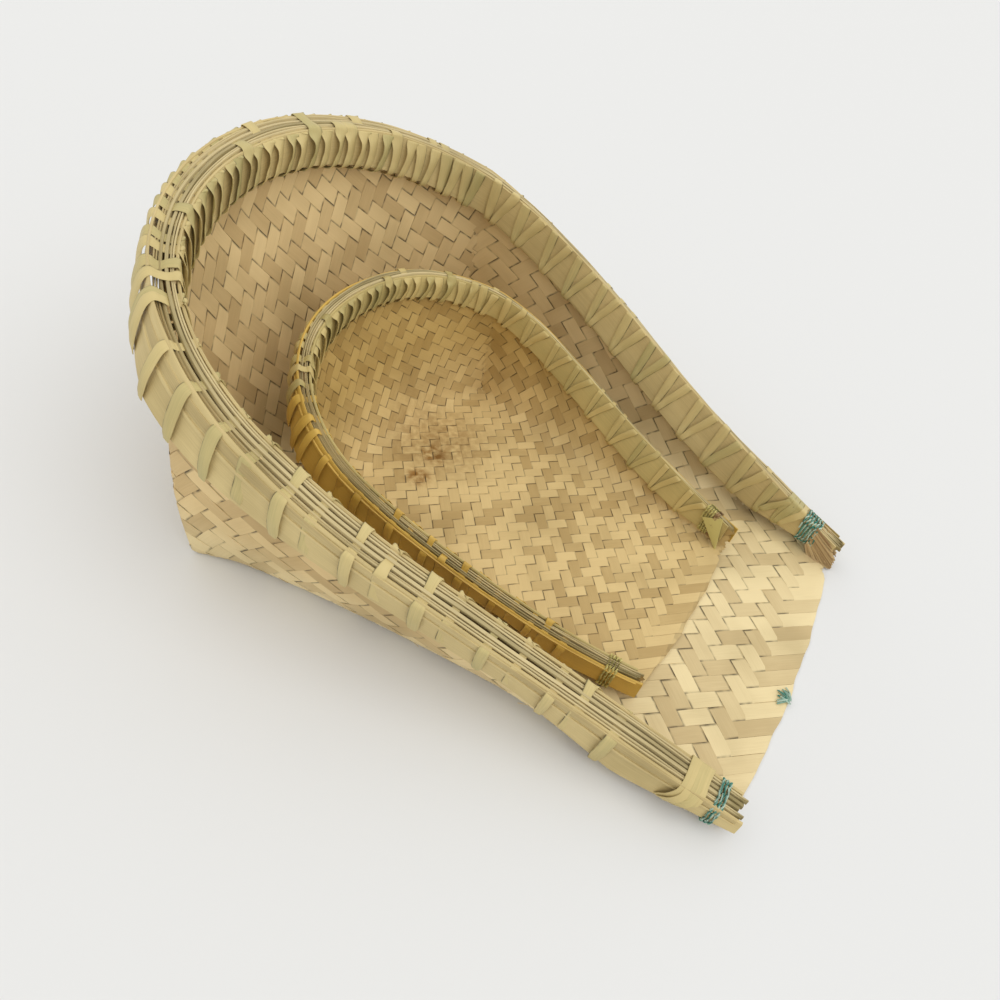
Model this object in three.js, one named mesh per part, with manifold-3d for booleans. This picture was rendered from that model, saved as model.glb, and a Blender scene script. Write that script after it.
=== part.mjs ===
import * as THREE from "three";
import Module from "manifold-3d";

const wasm = await Module();
wasm.setup();

// Lengths are millimetres. +Z is up, the mouth of each basket opens toward -Y, X is left to right.

// Bamboo stock and clearances shared by both baskets
const seatGap = 0.35;
const bindingSeat = 0.6;
const outerBandSeat = 0.55;
const bindingThickness = 0.6;
const slotSideClearance = 0.4;
const slotTopClearance = 0.05;
const slotFootClearance = 0.5;
const stripSlotHeight = bindingSeat - slotTopClearance + bindingThickness + slotFootClearance;
// Below the bands the slots end within this distance, and so does the lean of the rim's section
const slotReach = 3.2;
const twineDiameter = 1.9;
const twinePitch = 2.6;
const twineSides = 6;
// Walls shorter than this have less belly, and none is shorter than leastWall inside
const fullBellyLength = 60;
const leastWall = 0.5;
// How quickly the floor's pointed corners fade into its sides
const cornerPointPower = 5;
const seatingPasses = 8; // the wall's lean depends on its foot and top, so it is worked out in passes
// The bands stop short of the tips, and the splint ends are staggered
const innerBandTrim = 5;
const outerBandTrim = 1;
const splintTrim = 1.5;

// Large basket, outside sizes
const large = {
  name: "large",
  // Rim: the inner top edge of the rim seen in plan, and its height above the floor
  rimBackY: 172.6,
  rimShoulderY: 60,
  rimShoulderHalfWidth: 126,
  rimTipY: -174,
  rimTipHalfWidth: 90,
  rimTipFlare: 0.14,
  backFullness: 0.452,
  shoulderFullness: 0.718,
  sideFullness: 0.292,
  tipFullness: 0.712,
  rimBackHeight: 154,
  rimBackFall: 50.5,
  rimTipHeight: 17,
  rimTipRise: 37,
  // Floor: pointed back corners, a gently curved back crease and a convex front edge
  cornerHalfWidth: 129,
  cornerY: 113,
  cornerRimY: 108,
  creaseBackY: 130,
  floorSideHalfWidth: 117.5,
  floorTipHalfWidth: 84,
  frontEdgeY: -172.5,
  frontEdgeBulge: 4.5,
  wallBelly: 3,
  // Toward the mouth the floor slopes up to the rim, which stands further out than the floor's crease
  rimFlare: 16,
  flareFromY: -45,
  flareFullY: -125,
  // Woven panel and rim stock
  panelThickness: 1.8,
  bandThickness: 1.5,
  splintThickness: 2,
  splintsInsidePanel: 2,
  splintsOutsidePanel: 1,
  innerBandHeight: 28,
  outerBandShare: 0.9,
  bandKneeShare: 0.32,
  splintDepthShare: 0.24,
  capSplintDepth: 2.1,
  rimTopSlope: 0.14,
  rimLean: 0.25,
  backTopRise: 0.44,
  tipFloorClearance: 6,
  // Binding: flat strips threaded through the panel in pairs that make a V
  bindingWidth: 5,
  bindingPairs: 7,
  bindingPairSpread: 3.3,
  bindingTopSpread: 9.5,
  bindingStart: 46,
  // Facets
  sideStations: 17,
  backStations: 12,
};

// Small basket, outside sizes, in its own frame
const small = {
  name: "small",
  rimBackY: 116.6,
  rimShoulderY: 42,
  rimShoulderHalfWidth: 86.5,
  rimTipY: -112,
  rimTipHalfWidth: 59.5,
  rimTipFlare: 0.31,
  backFullness: 0.685,
  shoulderFullness: 0.48,
  sideFullness: 0.244,
  tipFullness: 0.18,
  rimBackHeight: 89.5,
  rimBackFall: 26,
  rimTipHeight: 19,
  rimTipRise: 9.6,
  cornerHalfWidth: 84.5,
  cornerY: 77,
  cornerRimY: 74,
  creaseBackY: 88,
  floorSideHalfWidth: 77.5,
  floorTipHalfWidth: 54.5,
  frontEdgeY: -113,
  frontEdgeBulge: 3,
  wallBelly: 2,
  rimFlare: 8,
  flareFromY: -28,
  flareFullY: -80,
  panelThickness: 1.3,
  bandThickness: 1.3,
  splintThickness: 1.7,
  splintsInsidePanel: 0,
  splintsOutsidePanel: 1,
  innerBandHeight: 19,
  outerBandShare: 0.96,
  bandKneeShare: 0.32,
  splintDepthShare: 0.24,
  capSplintDepth: 1.7,
  rimTopSlope: 0.14,
  rimLean: 0.2,
  backTopRise: 0.35,
  tipFloorClearance: 5,
  bindingWidth: 4,
  bindingPairs: 5,
  bindingPairSpread: 2.7,
  bindingTopSpread: 8,
  bindingStart: 28,
  sideStations: 14,
  backStations: 10,
};

// How the small basket lies in the large one
const smallTurn = THREE.MathUtils.degToRad(-2.3);
const smallShiftX = 1.2;
const smallShiftY = -0.6;

// Ends of the rim of the large basket, measured along the rim from each tip
const leftEndWrap = { from: 21, turns: 3, stripWidth: 5 };
const rightEndWrap = { from: 32, turns: 2, stripWidth: 5.6 };
const leftTwine = { from: 12, turns: 3 };
const rightTwine = { from: 17, turns: 4 };
const smallLeftTie = { from: 14, turns: 3 };
const smallRightTie = { from: 14, turns: 3 };
const endWrapGap = 0.7;
const fanReach = 13;
const fanFromTip = 2;
const fanThickness = 2.6;
const fanLobes = 6;
const fanLobeDepth = 1.4;
const fanHeightShare = 0.92;
const fanDrop = 0.5;
const frontTieX = -17;
const frontTieLoopRadius = 3;
const frontTieTail = 9;
const frontTieTurns = 1.35;
const frontTieLift = 3;

// Colours of dried bamboo
const paleStraw = { color: 0xd8c48c, roughness: 0.7 };
const goldenStraw = { color: 0xcaa858, roughness: 0.65 };
const greenStraw = { color: 0xc9c795, roughness: 0.65 };
const goldenBand = { color: 0xb58a32, roughness: 0.5 };
const brownFibre = { color: 0x9a7440, roughness: 0.85 };
const greenTwine = { color: 0x4f9b86, roughness: 0.9 };
const yellowStrip = { color: 0xb9ab4a, roughness: 0.7 };

// Geometry helpers

// Makes a closed geometry from vertices and triangles, with its faces pointing out
function closedGeometry(vertices, triangles) {
  let volume = 0;
  for (const [a, b, c] of triangles) {
    volume += vertices[a].dot(new THREE.Vector3().crossVectors(vertices[b], vertices[c]));
  }
  const index = triangles.flatMap(([a, b, c]) => (volume < 0 ? [a, c, b] : [a, b, c]));
  const geometry = new THREE.BufferGeometry();
  const numbers = vertices.flatMap((vertex) => vertex.toArray());
  geometry.setAttribute("position", new THREE.Float32BufferAttribute(numbers, 3));
  geometry.setIndex(index);
  geometry.computeVertexNormals();
  return geometry;
}

// Joins equal rings of points one after another and closes both ends
function loftRings(rings, capOutline) {
  const sides = rings[0].length;
  const vertices = rings.flat();
  const triangles = [];
  for (let r = 0; r + 1 < rings.length; r += 1) {
    for (let k = 0; k < sides; k += 1) {
      const a = r * sides + k;
      const b = r * sides + ((k + 1) % sides);
      triangles.push([a, b, b + sides], [a, b + sides, a + sides]);
    }
  }
  const last = (rings.length - 1) * sides;
  for (const [a, b, c] of THREE.ShapeUtils.triangulateShape(capOutline, [])) {
    triangles.push([a, c, b], [last + a, last + b, last + c]);
  }
  // The cap triangles follow the outline's own turning sense
  if (!THREE.ShapeUtils.isClockWise(capOutline)) return closedGeometry(vertices, triangles);
  const sideCount = triangles.length - 2 * (sides - 2);
  const flipped = triangles.map((t, i) => (i < sideCount ? t : [t[0], t[2], t[1]]));
  return closedGeometry(vertices, flipped);
}

// Gives an open sheet a thickness: two skins joined along the sheet's border
function thickSheet(outerSkin, innerSkin, triangles) {
  const count = outerSkin.length;
  const border = new Map();
  for (const triangle of triangles) {
    for (let k = 0; k < 3; k += 1) {
      const a = triangle[k];
      const b = triangle[(k + 1) % 3];
      if (border.has(`${b},${a}`)) border.delete(`${b},${a}`);
      else border.set(`${a},${b}`, [a, b]);
    }
  }
  const all = triangles.map((t) => [...t]);
  for (const [a, b, c] of triangles) all.push([a + count, c + count, b + count]);
  for (const [a, b] of border.values()) all.push([b, a, a + count], [b, a + count, b + count]);
  return closedGeometry([...outerSkin, ...innerSkin], all);
}

function toManifold(geometry) {
  const vertProperties = new Float32Array(geometry.getAttribute("position").array);
  const triVerts = new Uint32Array(geometry.getIndex().array);
  return new wasm.Manifold(new wasm.Mesh({ numProp: 3, vertProperties, triVerts }));
}

function fromManifold(solid) {
  const mesh = solid.getMesh();
  const geometry = new THREE.BufferGeometry();
  const numbers = new Float32Array(mesh.vertProperties);
  geometry.setAttribute("position", new THREE.BufferAttribute(numbers, 3));
  geometry.setIndex(new THREE.BufferAttribute(new Uint32Array(mesh.triVerts), 1));
  geometry.computeVertexNormals();
  return geometry;
}

function makeMesh(name, geometry, look) {
  const material = new THREE.MeshStandardMaterial({ ...look, metalness: 0 });
  const mesh = new THREE.Mesh(geometry, material);
  mesh.name = name;
  return mesh;
}

// The cross-section of the rim from the inside outward: inner band, splints, panel edge, splints and
// outer band. One splint, the cap, lies on the panel's top edge.
function rimStack(size) {
  const step = size.splintThickness + seatGap;
  const splintCount = size.splintsInsidePanel + 1 + size.splintsOutsidePanel;
  const splintStarts = Array.from({ length: splintCount }, (_, k) => ({
    from: size.bandThickness + seatGap + k * step,
    cap: k === size.splintsInsidePanel,
  }));
  const capMiddle = splintStarts[size.splintsInsidePanel].from + size.splintThickness / 2;
  const panelInside = capMiddle - size.panelThickness / 2;
  const panelOutside = capMiddle + size.panelThickness / 2;
  const outerBandInside = size.bandThickness + seatGap + splintCount * step;
  const width = outerBandInside + size.bandThickness;
  return { panelInside, panelOutside, splintStarts, outerBandInside, width };
}

// Half of the rim in plan and height, from the middle of the back to the right tip
function rimHalfCurve(size) {
  const { rimShoulderHalfWidth: halfWidth, rimShoulderY: shoulderY, rimTipY: tipY } = size;
  const backReach = size.rimBackY - shoulderY;
  const sideReach = shoulderY - tipY;
  const shoulder = new THREE.Vector3(halfWidth, shoulderY, 0);
  const tipHandle = size.tipFullness * sideReach;
  const path = new THREE.CurvePath();
  path.add(new THREE.CubicBezierCurve3(
    new THREE.Vector3(0, size.rimBackY, 0),
    new THREE.Vector3(size.backFullness * halfWidth, size.rimBackY, 0),
    new THREE.Vector3(halfWidth, shoulderY + size.shoulderFullness * backReach, 0),
    shoulder,
  ));
  path.add(new THREE.CubicBezierCurve3(
    shoulder,
    new THREE.Vector3(halfWidth, shoulderY - size.sideFullness * sideReach, 0),
    new THREE.Vector3(size.rimTipHalfWidth + size.rimTipFlare * tipHandle, tipY + tipHandle, 0),
    new THREE.Vector3(size.rimTipHalfWidth, tipY, 0),
  ));
  return path;
}

// The rim's height rises along Y on a cubic curve between the tips and the back
function rimHeight(size, y) {
  const t = (y - size.rimTipY) / (size.rimBackY - size.rimTipY);
  const s = 1 - t;
  const tipPart = s ** 3 * size.rimTipHeight + 3 * s * s * t * (size.rimTipHeight + size.rimTipRise);
  const backPart = 3 * s * t * t * (size.rimBackHeight - size.rimBackFall) + t ** 3 * size.rimBackHeight;
  return tipPart + backPart;
}

// Finds where along the half rim the curve comes down to a given Y
function rimShareAtY(path, y) {
  let low = 0;
  let high = 1;
  for (let k = 0; k < 40; k += 1) {
    const middle = (low + high) / 2;
    if (path.getPointAt(middle).y > y) low = middle;
    else high = middle;
  }
  return (low + high) / 2;
}

// Stations along the rim. Each holds the panel's outer line, the directions outward and down the wall,
// and how far the floor's crease lies inside the point that the wall heads for.
function rimFrame(size) {
  const stack = rimStack(size);
  const path = rimHalfCurve(size);
  const cornerShare = rimShareAtY(path, size.cornerRimY);
  const shares = [];
  for (let k = 0; k <= size.backStations; k += 1) shares.push((cornerShare * k) / size.backStations);
  for (let k = 1; k <= size.sideStations; k += 1) {
    shares.push(cornerShare + ((1 - cornerShare) * k) / size.sideStations);
  }
  const half = shares.map((share) => {
    const rim = path.getPointAt(share);
    rim.z = rimHeight(size, rim.y);
    const foot = new THREE.Vector3();
    let flare = 0;
    if (share <= cornerShare) {
      const t = share / cornerShare;
      foot.set(size.cornerHalfWidth * t, THREE.MathUtils.lerp(size.creaseBackY, size.cornerY, t * t), 0);
    } else {
      const t = (share - cornerShare) / (1 - cornerShare);
      foot.x = THREE.MathUtils.lerp(size.floorSideHalfWidth, size.floorTipHalfWidth, t);
      foot.x += (size.cornerHalfWidth - size.floorSideHalfWidth) * (1 - t) ** cornerPointPower;
      foot.y = THREE.MathUtils.lerp(size.cornerY, size.rimTipY, t);
      flare = size.rimFlare * THREE.MathUtils.smoothstep(-foot.y, -size.flareFromY, -size.flareFullY);
      foot.x += flare;
    }
    return { rim, foot, flare };
  });
  const mirrored = half.slice(1).map(({ rim, foot, flare }) => ({
    rim: new THREE.Vector3(-rim.x, rim.y, rim.z),
    foot: new THREE.Vector3(-foot.x, foot.y, 0),
    flare: -flare,
  }));
  const stations = [...mirrored.reverse(), ...half];
  stations.forEach((station, i) => {
    const before = stations[Math.max(i - 1, 0)].rim;
    const after = stations[Math.min(i + 1, stations.length - 1)].rim;
    station.along = new THREE.Vector3().subVectors(after, before).normalize();
    station.travel = i === 0 ? 0 : stations[i - 1].travel + station.rim.distanceTo(before);
  });
  for (const station of stations) {
    station.down = new THREE.Vector3().subVectors(station.foot, station.rim);
    station.out = new THREE.Vector3();
    station.panelTop = new THREE.Vector3();
    for (let pass = 0; pass < seatingPasses; pass += 1) {
      station.wallLength = station.down.length();
      station.bandHeight = Math.min(size.innerBandHeight, station.wallLength - size.tipFloorClearance);
      station.out.crossVectors(station.along, station.down).normalize();
      const reach = stack.panelOutside + size.rimLean * (station.bandHeight + slotReach);
      station.panelTop.copy(station.rim).addScaledVector(station.out, reach);
      station.down.subVectors(station.foot, station.panelTop);
    }
    station.down.normalize();
    station.topRise = size.backTopRise * station.along.x ** 2;
  }
  return { size, stack, stations, length: stations[stations.length - 1].travel };
}

// A point at one station: out is measured from the rim's inner face, down along the wall.
// The whole section leans: its top lies further in than its foot. At the back its outer side rises.
function stationPoint(frame, station, out, down) {
  const leanFoot = station.bandHeight + slotReach;
  const aboveFoot = leanFoot - Math.min(down, leanFoot);
  const inward = frame.size.rimLean * aboveFoot;
  const rise = (station.topRise * out * aboveFoot) / leanFoot;
  return station.panelTop
    .clone()
    .addScaledVector(station.out, out - frame.stack.panelOutside - inward)
    .addScaledVector(station.down, down - rise);
}

// The stations before and after a travel along the rim, and the share between them
function locate(frame, travel) {
  let i = 0;
  while (i < frame.stations.length - 2 && frame.stations[i + 1].travel < travel) i += 1;
  const from = frame.stations[i];
  const to = frame.stations[i + 1];
  return { from, to, share: (travel - from.travel) / (to.travel - from.travel) };
}

function rimPoint(frame, travel, out, down) {
  const { from, to, share } = locate(frame, travel);
  return stationPoint(frame, from, out, down).lerp(stationPoint(frame, to, out, down), share);
}

function bandHeightAt(frame, travel) {
  const { from, to, share } = locate(frame, travel);
  return THREE.MathUtils.lerp(from.bandHeight, to.bandHeight, share);
}

// How far the top of a rim piece lies below the rim's inner top edge
function topDrop(frame, out) {
  return frame.size.rimTopSlope * out;
}

// Sweeps a section along the rim between two travels
function sweepAlongRim(frame, start, end, section) {
  const travels = [start];
  for (const station of frame.stations) {
    if (station.travel > start + 0.5 && station.travel < end - 0.5) travels.push(station.travel);
  }
  travels.push(end);
  const rings = travels.map((travel) => {
    const outline = section(bandHeightAt(frame, travel));
    return outline.map((p) => rimPoint(frame, travel, p.x, p.y));
  });
  return loftRings(rings, section(frame.size.innerBandHeight));
}

// Pieces of the rim

function innerBand(frame, start, end) {
  const { bandThickness, bandKneeShare } = frame.size;
  const bottomInside = frame.stack.panelInside - seatGap - bandThickness;
  const outsideTop = topDrop(frame, bandThickness);
  // The outline starts on the face toward the panel, so that its facets follow the panel's
  return sweepAlongRim(frame, start, end, (height) => [
    new THREE.Vector2(bandThickness, outsideTop),
    new THREE.Vector2(bandThickness, height * bandKneeShare),
    new THREE.Vector2(bottomInside + bandThickness, height),
    new THREE.Vector2(bottomInside, height),
    new THREE.Vector2(0, height * bandKneeShare),
    new THREE.Vector2(0, 0),
  ]);
}

function outerBand(frame, start, end) {
  const { bandThickness, bandKneeShare, outerBandShare } = frame.size;
  const { outerBandInside, panelOutside } = frame.stack;
  const top = topDrop(frame, frame.stack.width);
  const bottomInside = panelOutside + outerBandSeat;
  return sweepAlongRim(frame, start, end, (height) => [
    new THREE.Vector2(outerBandInside, top),
    new THREE.Vector2(outerBandInside, height * bandKneeShare),
    new THREE.Vector2(bottomInside, height * outerBandShare),
    new THREE.Vector2(bottomInside + bandThickness, height * outerBandShare),
    new THREE.Vector2(outerBandInside + bandThickness, height * bandKneeShare),
    new THREE.Vector2(outerBandInside + bandThickness, top),
  ]);
}

function rimSplint(frame, splint, start, end) {
  const { splintThickness, splintDepthShare, capSplintDepth } = frame.size;
  const top = topDrop(frame, splint.from + splintThickness);
  return sweepAlongRim(frame, start, end, (height) => {
    const capBottom = top + capSplintDepth;
    const bottom = splint.cap ? capBottom : Math.max(height * splintDepthShare, capBottom);
    return [
      new THREE.Vector2(splint.from, top),
      new THREE.Vector2(splint.from, bottom),
      new THREE.Vector2(splint.from + splintThickness, bottom),
      new THREE.Vector2(splint.from + splintThickness, top),
    ];
  });
}

// Top edge of the panel, just under the splint that covers it
function panelTopDepth(frame) {
  const cap = frame.stack.splintStarts.find((splint) => splint.cap);
  return topDrop(frame, cap.from + frame.size.splintThickness) + frame.size.capSplintDepth + seatGap;
}

// The outline that bindings go round, as corners in order: up the inside, over the top, down the outside
function bundleOutline(frame, travel, clearance) {
  const { size, stack } = frame;
  const height = bandHeightAt(frame, travel);
  const insideFoot = stack.panelInside - seatGap - size.bandThickness;
  const outsideFoot = stack.panelOutside + outerBandSeat + size.bandThickness;
  const corners = [
    new THREE.Vector2(insideFoot, height),
    new THREE.Vector2(0, height * size.bandKneeShare),
    new THREE.Vector2(0, 0),
    new THREE.Vector2(stack.width, topDrop(frame, stack.width)),
    new THREE.Vector2(stack.width, height * size.bandKneeShare),
    new THREE.Vector2(outsideFoot, height),
  ];
  return offsetOutline(corners, clearance);
}

// Moves each edge of a closed outline outward and finds the new corners
function offsetOutline(corners, distance) {
  const count = corners.length;
  const middle = corners.reduce((sum, p) => sum.add(p), new THREE.Vector2()).divideScalar(count);
  return corners.map((corner, i) => {
    const before = corners[(i + count - 1) % count];
    const after = corners[(i + 1) % count];
    const normals = [[before, corner], [corner, after]].map(([p, q]) => {
      const normal = new THREE.Vector2(q.y - p.y, p.x - q.x).normalize();
      return normal.dot(new THREE.Vector2().subVectors(p, middle)) < 0 ? normal.negate() : normal;
    });
    const sum = new THREE.Vector2().addVectors(normals[0], normals[1]);
    return corner.clone().addScaledVector(sum, distance / (1 + normals[0].dot(normals[1])));
  });
}

// Slots in the panel for the bindings
function slotSolid(frame, travel, halfWidth, height) {
  const { panelInside, panelOutside } = frame.stack;
  const overshoot = 1.5;
  const corner = (out, side, drop) => {
    const at = travel + side * halfWidth;
    return rimPoint(frame, at, out, bandHeightAt(frame, at) + slotTopClearance + drop);
  };
  const outline = [[0, 0], [1, 0], [1, 1], [0, 1]].map(([x, y]) => new THREE.Vector2(x, y));
  const ring = (out) => outline.map((p) => corner(out, 2 * p.x - 1, height * p.y));
  return toManifold(loftRings([ring(panelInside - overshoot), ring(panelOutside + overshoot)], outline));
}

// The woven panel: one sheet that is the floor, turned up at the sides and back into walls
function wovenPanel(frame, slots) {
  const { size, stack } = frame;
  const thickness = size.panelThickness;
  const firstY = size.frontEdgeY;
  const kept = frame.stations.filter((station) => station.foot.y > firstY + 2);
  const endStation = (side) => {
    const travels = side < 0 ? [0, frame.length / 2] : [frame.length / 2, frame.length];
    let [low, high] = travels;
    for (let k = 0; k < 40; k += 1) {
      const middle = (low + high) / 2;
      const { from, to, share } = locate(frame, middle);
      const y = THREE.MathUtils.lerp(from.foot.y, to.foot.y, share);
      if ((y > firstY) === (side < 0)) high = middle;
      else low = middle;
    }
    const { from, to, share } = locate(frame, (low + high) / 2);
    return {
      panelTop: from.panelTop.clone().lerp(to.panelTop, share),
      foot: from.foot.clone().lerp(to.foot, share),
      flare: THREE.MathUtils.lerp(from.flare, to.flare, share),
      down: from.down.clone().lerp(to.down, share),
      out: from.out.clone().lerp(to.out, share),
      wallLength: THREE.MathUtils.lerp(from.wallLength, to.wallLength, share),
      bandHeight: THREE.MathUtils.lerp(from.bandHeight, to.bandHeight, share),
      topRise: THREE.MathUtils.lerp(from.topRise, to.topRise, share),
    };
  };
  const columns = [endStation(-1), ...kept, endStation(1)];
  const last = columns.length - 1;
  const wallShares = [0, 0.35, 0.7, 1];
  const topDepth = panelTopDepth(frame);
  const outer = [];
  const inner = [];
  const grid = columns.map((station) => {
    const slotFoot = station.bandHeight + slotReach;
    const innerLength = (thickness - station.panelTop.z + thickness * station.out.z) / station.down.z;
    const kneeDown = station.bandHeight * size.bandKneeShare;
    const rows = [topDepth, kneeDown].map((down) => {
      return { outerDown: down, innerDown: down, belly: 0, inset: 0 };
    });
    const wallFrom = Math.min(slotFoot, innerLength - leastWall);
    const bellyShare = Math.min(1, (station.wallLength - slotFoot) / fullBellyLength);
    for (const share of wallShares) {
      rows.push({
        outerDown: THREE.MathUtils.lerp(wallFrom, station.wallLength, share),
        innerDown: THREE.MathUtils.lerp(wallFrom, innerLength, share),
        belly: Math.max(size.wallBelly * Math.sin(Math.PI * share) * bellyShare, 0),
        inset: station.flare * share * share,
      });
    }
    return rows.map(({ outerDown, innerDown, belly, inset }) => {
      const inward = new THREE.Vector3(-inset, 0, 0);
      outer.push(stationPoint(frame, station, stack.panelOutside + belly, outerDown).add(inward));
      inner.push(stationPoint(frame, station, stack.panelInside + belly, innerDown).add(inward));
      return outer.length - 1;
    });
  });
  const triangles = [];
  for (let i = 0; i < last; i += 1) {
    for (let j = 0; j + 1 < grid[i].length; j += 1) {
      const [a, b, c, d] = [grid[i][j], grid[i][j + 1], grid[i + 1][j + 1], grid[i + 1][j]];
      triangles.push([a, b, c], [a, c, d]);
    }
  }
  const foot = grid[0].length - 1;
  const across = 6;
  const middle = last / 2;
  const floorRows = [];
  for (let i = 0; i < middle; i += 1) {
    const [left, right] = [grid[i][foot], grid[last - i][foot]];
    const fade = Math.max(0, 1 - i / 4);
    const row = [left];
    for (let k = 1; k < across; k += 1) {
      const bulge = size.frontEdgeBulge * fade * (1 - ((2 * k) / across - 1) ** 2);
      const forward = new THREE.Vector3(0, -bulge, 0);
      outer.push(outer[left].clone().lerp(outer[right], k / across).add(forward));
      inner.push(inner[left].clone().lerp(inner[right], k / across).add(forward));
      row.push(outer.length - 1);
    }
    row.push(right);
    floorRows.push(row);
  }
  floorRows.push(new Array(across + 1).fill(grid[middle][foot]));
  for (let i = 0; i < middle; i += 1) {
    for (let k = 0; k < across; k += 1) {
      const [a, b] = [floorRows[i][k], floorRows[i][k + 1]];
      const [c, d] = [floorRows[i + 1][k + 1], floorRows[i + 1][k]];
      triangles.push([a, b, c]);
      if (c !== d) triangles.push([a, c, d]);
    }
  }
  const sheet = toManifold(thickSheet(outer, inner, triangles));
  return fromManifold(slots.reduce((solid, slot) => solid.subtract(slot), sheet));
}

// Windings

// The least distance between parts of a winding that are more than half a turn apart
function leastGap(rings, halfTurn) {
  let least = Infinity;
  const points = rings.map((ring) => {
    const dense = [];
    ring.forEach((p, k) => {
      dense.push(p, p.clone().lerp(ring[(k + 1) % ring.length], 0.5));
    });
    return dense;
  });
  for (let i = 0; i < points.length; i += 1) {
    for (let j = i + halfTurn; j < points.length; j += 1) {
      for (const p of points[i]) {
        for (const q of points[j]) least = Math.min(least, p.distanceTo(q));
      }
    }
  }
  return least;
}

// A corner of the bundle's outline, moved out by a clearance, at one travel along the rim
function bundlePoint(frame, travel, corner, clearance) {
  const low = Math.floor(corner);
  const outline = bundleOutline(frame, travel, clearance);
  const p = outline[low].clone().lerp(outline[(low + 1) % outline.length], corner - low);
  return rimPoint(frame, travel, p.x, p.y);
}

// A flat strip wound round the rim: each turn comes through a slot, up the inside and down the outside
function flatWinding(frame, turns, width) {
  const kneeShare = 0.35;
  const rings = [];
  turns.forEach((turn, i) => {
    const isLast = i + 1 === turns.length;
    const exit = isLast ? 2 * turn.top - turn.slot : turns[i + 1].slot;
    const kneeIn = THREE.MathUtils.lerp(turn.top, turn.slot, kneeShare);
    const kneeOut = THREE.MathUtils.lerp(turn.top, exit, kneeShare);
    const halfIn = THREE.MathUtils.lerp(turn.slot, kneeIn, 0.5);
    const halfOut = THREE.MathUtils.lerp(kneeOut, exit, 0.5);
    // Each step is a corner of the bundle's outline, or a point between two, and a travel along the rim
    const inside = [[0, turn.slot], [0.5, halfIn], [1, kneeIn]];
    const outside = [[2, turn.top], [3, turn.top], [4, kneeOut], [4.5, halfOut]];
    const path = [...inside, ...outside, ...(isLast ? [] : [[5, exit]])];
    for (const [corner, travel] of path) {
      rings.push([
        bundlePoint(frame, travel - width / 2, corner, bindingSeat),
        bundlePoint(frame, travel - width / 2, corner, bindingSeat + bindingThickness),
        bundlePoint(frame, travel + width / 2, corner, bindingSeat + bindingThickness),
        bundlePoint(frame, travel + width / 2, corner, bindingSeat),
      ]);
    }
  });
  const outline = [[0, 0], [0, 1], [1, 1], [1, 0]].map(([x, y]) => new THREE.Vector2(x, y));
  return { geometry: loftRings(rings, outline), gap: leastGap(rings, 6) };
}

// A round twine wound round the rim
function twineWinding(frame, from, turnCount) {
  const radius = twineDiameter / 2;
  const stepsPerTurn = 12;
  const centres = [];
  for (let step = 0; step <= turnCount * stepsPerTurn; step += 1) {
    const travel = from + (twinePitch * step) / stepsPerTurn;
    const outline = bundleOutline(frame, travel, bindingSeat + radius);
    outline.push(outline[0].clone());
    const phase = ((step % stepsPerTurn) / stepsPerTurn) * (outline.length - 1);
    const k = Math.floor(phase);
    const p = outline[k].clone().lerp(outline[k + 1], phase - k);
    centres.push({ travel, out: p.x, down: p.y });
  }
  const points = centres.map((c) => rimPoint(frame, c.travel, c.out, c.down));
  const rings = points.map((point, i) => {
    const before = points[Math.max(i - 1, 0)];
    const after = points[Math.min(i + 1, points.length - 1)];
    const along = new THREE.Vector3().subVectors(after, before).normalize();
    const height = bandHeightAt(frame, centres[i].travel);
    const middle = rimPoint(frame, centres[i].travel, frame.stack.width / 2, height / 2);
    const away = new THREE.Vector3().subVectors(point, middle);
    away.addScaledVector(along, -away.dot(along)).normalize();
    const side = new THREE.Vector3().crossVectors(along, away);
    return ringAround(point, away, side, radius);
  });
  const gapNow = leastGap(points.map((p) => [p]), stepsPerTurn / 2) - twineDiameter;
  return { geometry: loftRings(rings, unitOutline()), gap: gapNow };
}

function unitOutline() {
  return Array.from({ length: twineSides }, (_, k) => {
    const angle = (2 * Math.PI * k) / twineSides;
    return new THREE.Vector2(Math.cos(angle), Math.sin(angle));
  });
}

function ringAround(centre, first, second, radius) {
  return unitOutline().map((p) => centre.clone()
    .addScaledVector(first, radius * p.x)
    .addScaledVector(second, radius * p.y));
}

// Turns of the V pairs between two travels along the rim
function pairTurns(frame, start, end) {
  const { bindingPairs, bindingPairSpread, bindingTopSpread } = frame.size;
  const pitch = (end - start) / bindingPairs;
  const turns = [];
  for (let k = 0; k < bindingPairs; k += 1) {
    const centre = start + (k + 0.5) * pitch;
    turns.push({ slot: centre - bindingPairSpread, top: centre - bindingTopSpread });
    turns.push({ slot: centre + bindingPairSpread, top: centre + bindingTopSpread });
  }
  return turns;
}

// Turns laid close side by side
function closeTurns(from, count, width) {
  const step = width + endWrapGap;
  return Array.from({ length: count }, (_, k) => {
    const slot = from + width / 2 + k * step;
    return { slot, top: slot + step / 2 };
  });
}

function reportGap(name, gap) {
  console.log(`${name}: least gap between turns ${gap.toFixed(2)} mm`);
}

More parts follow.
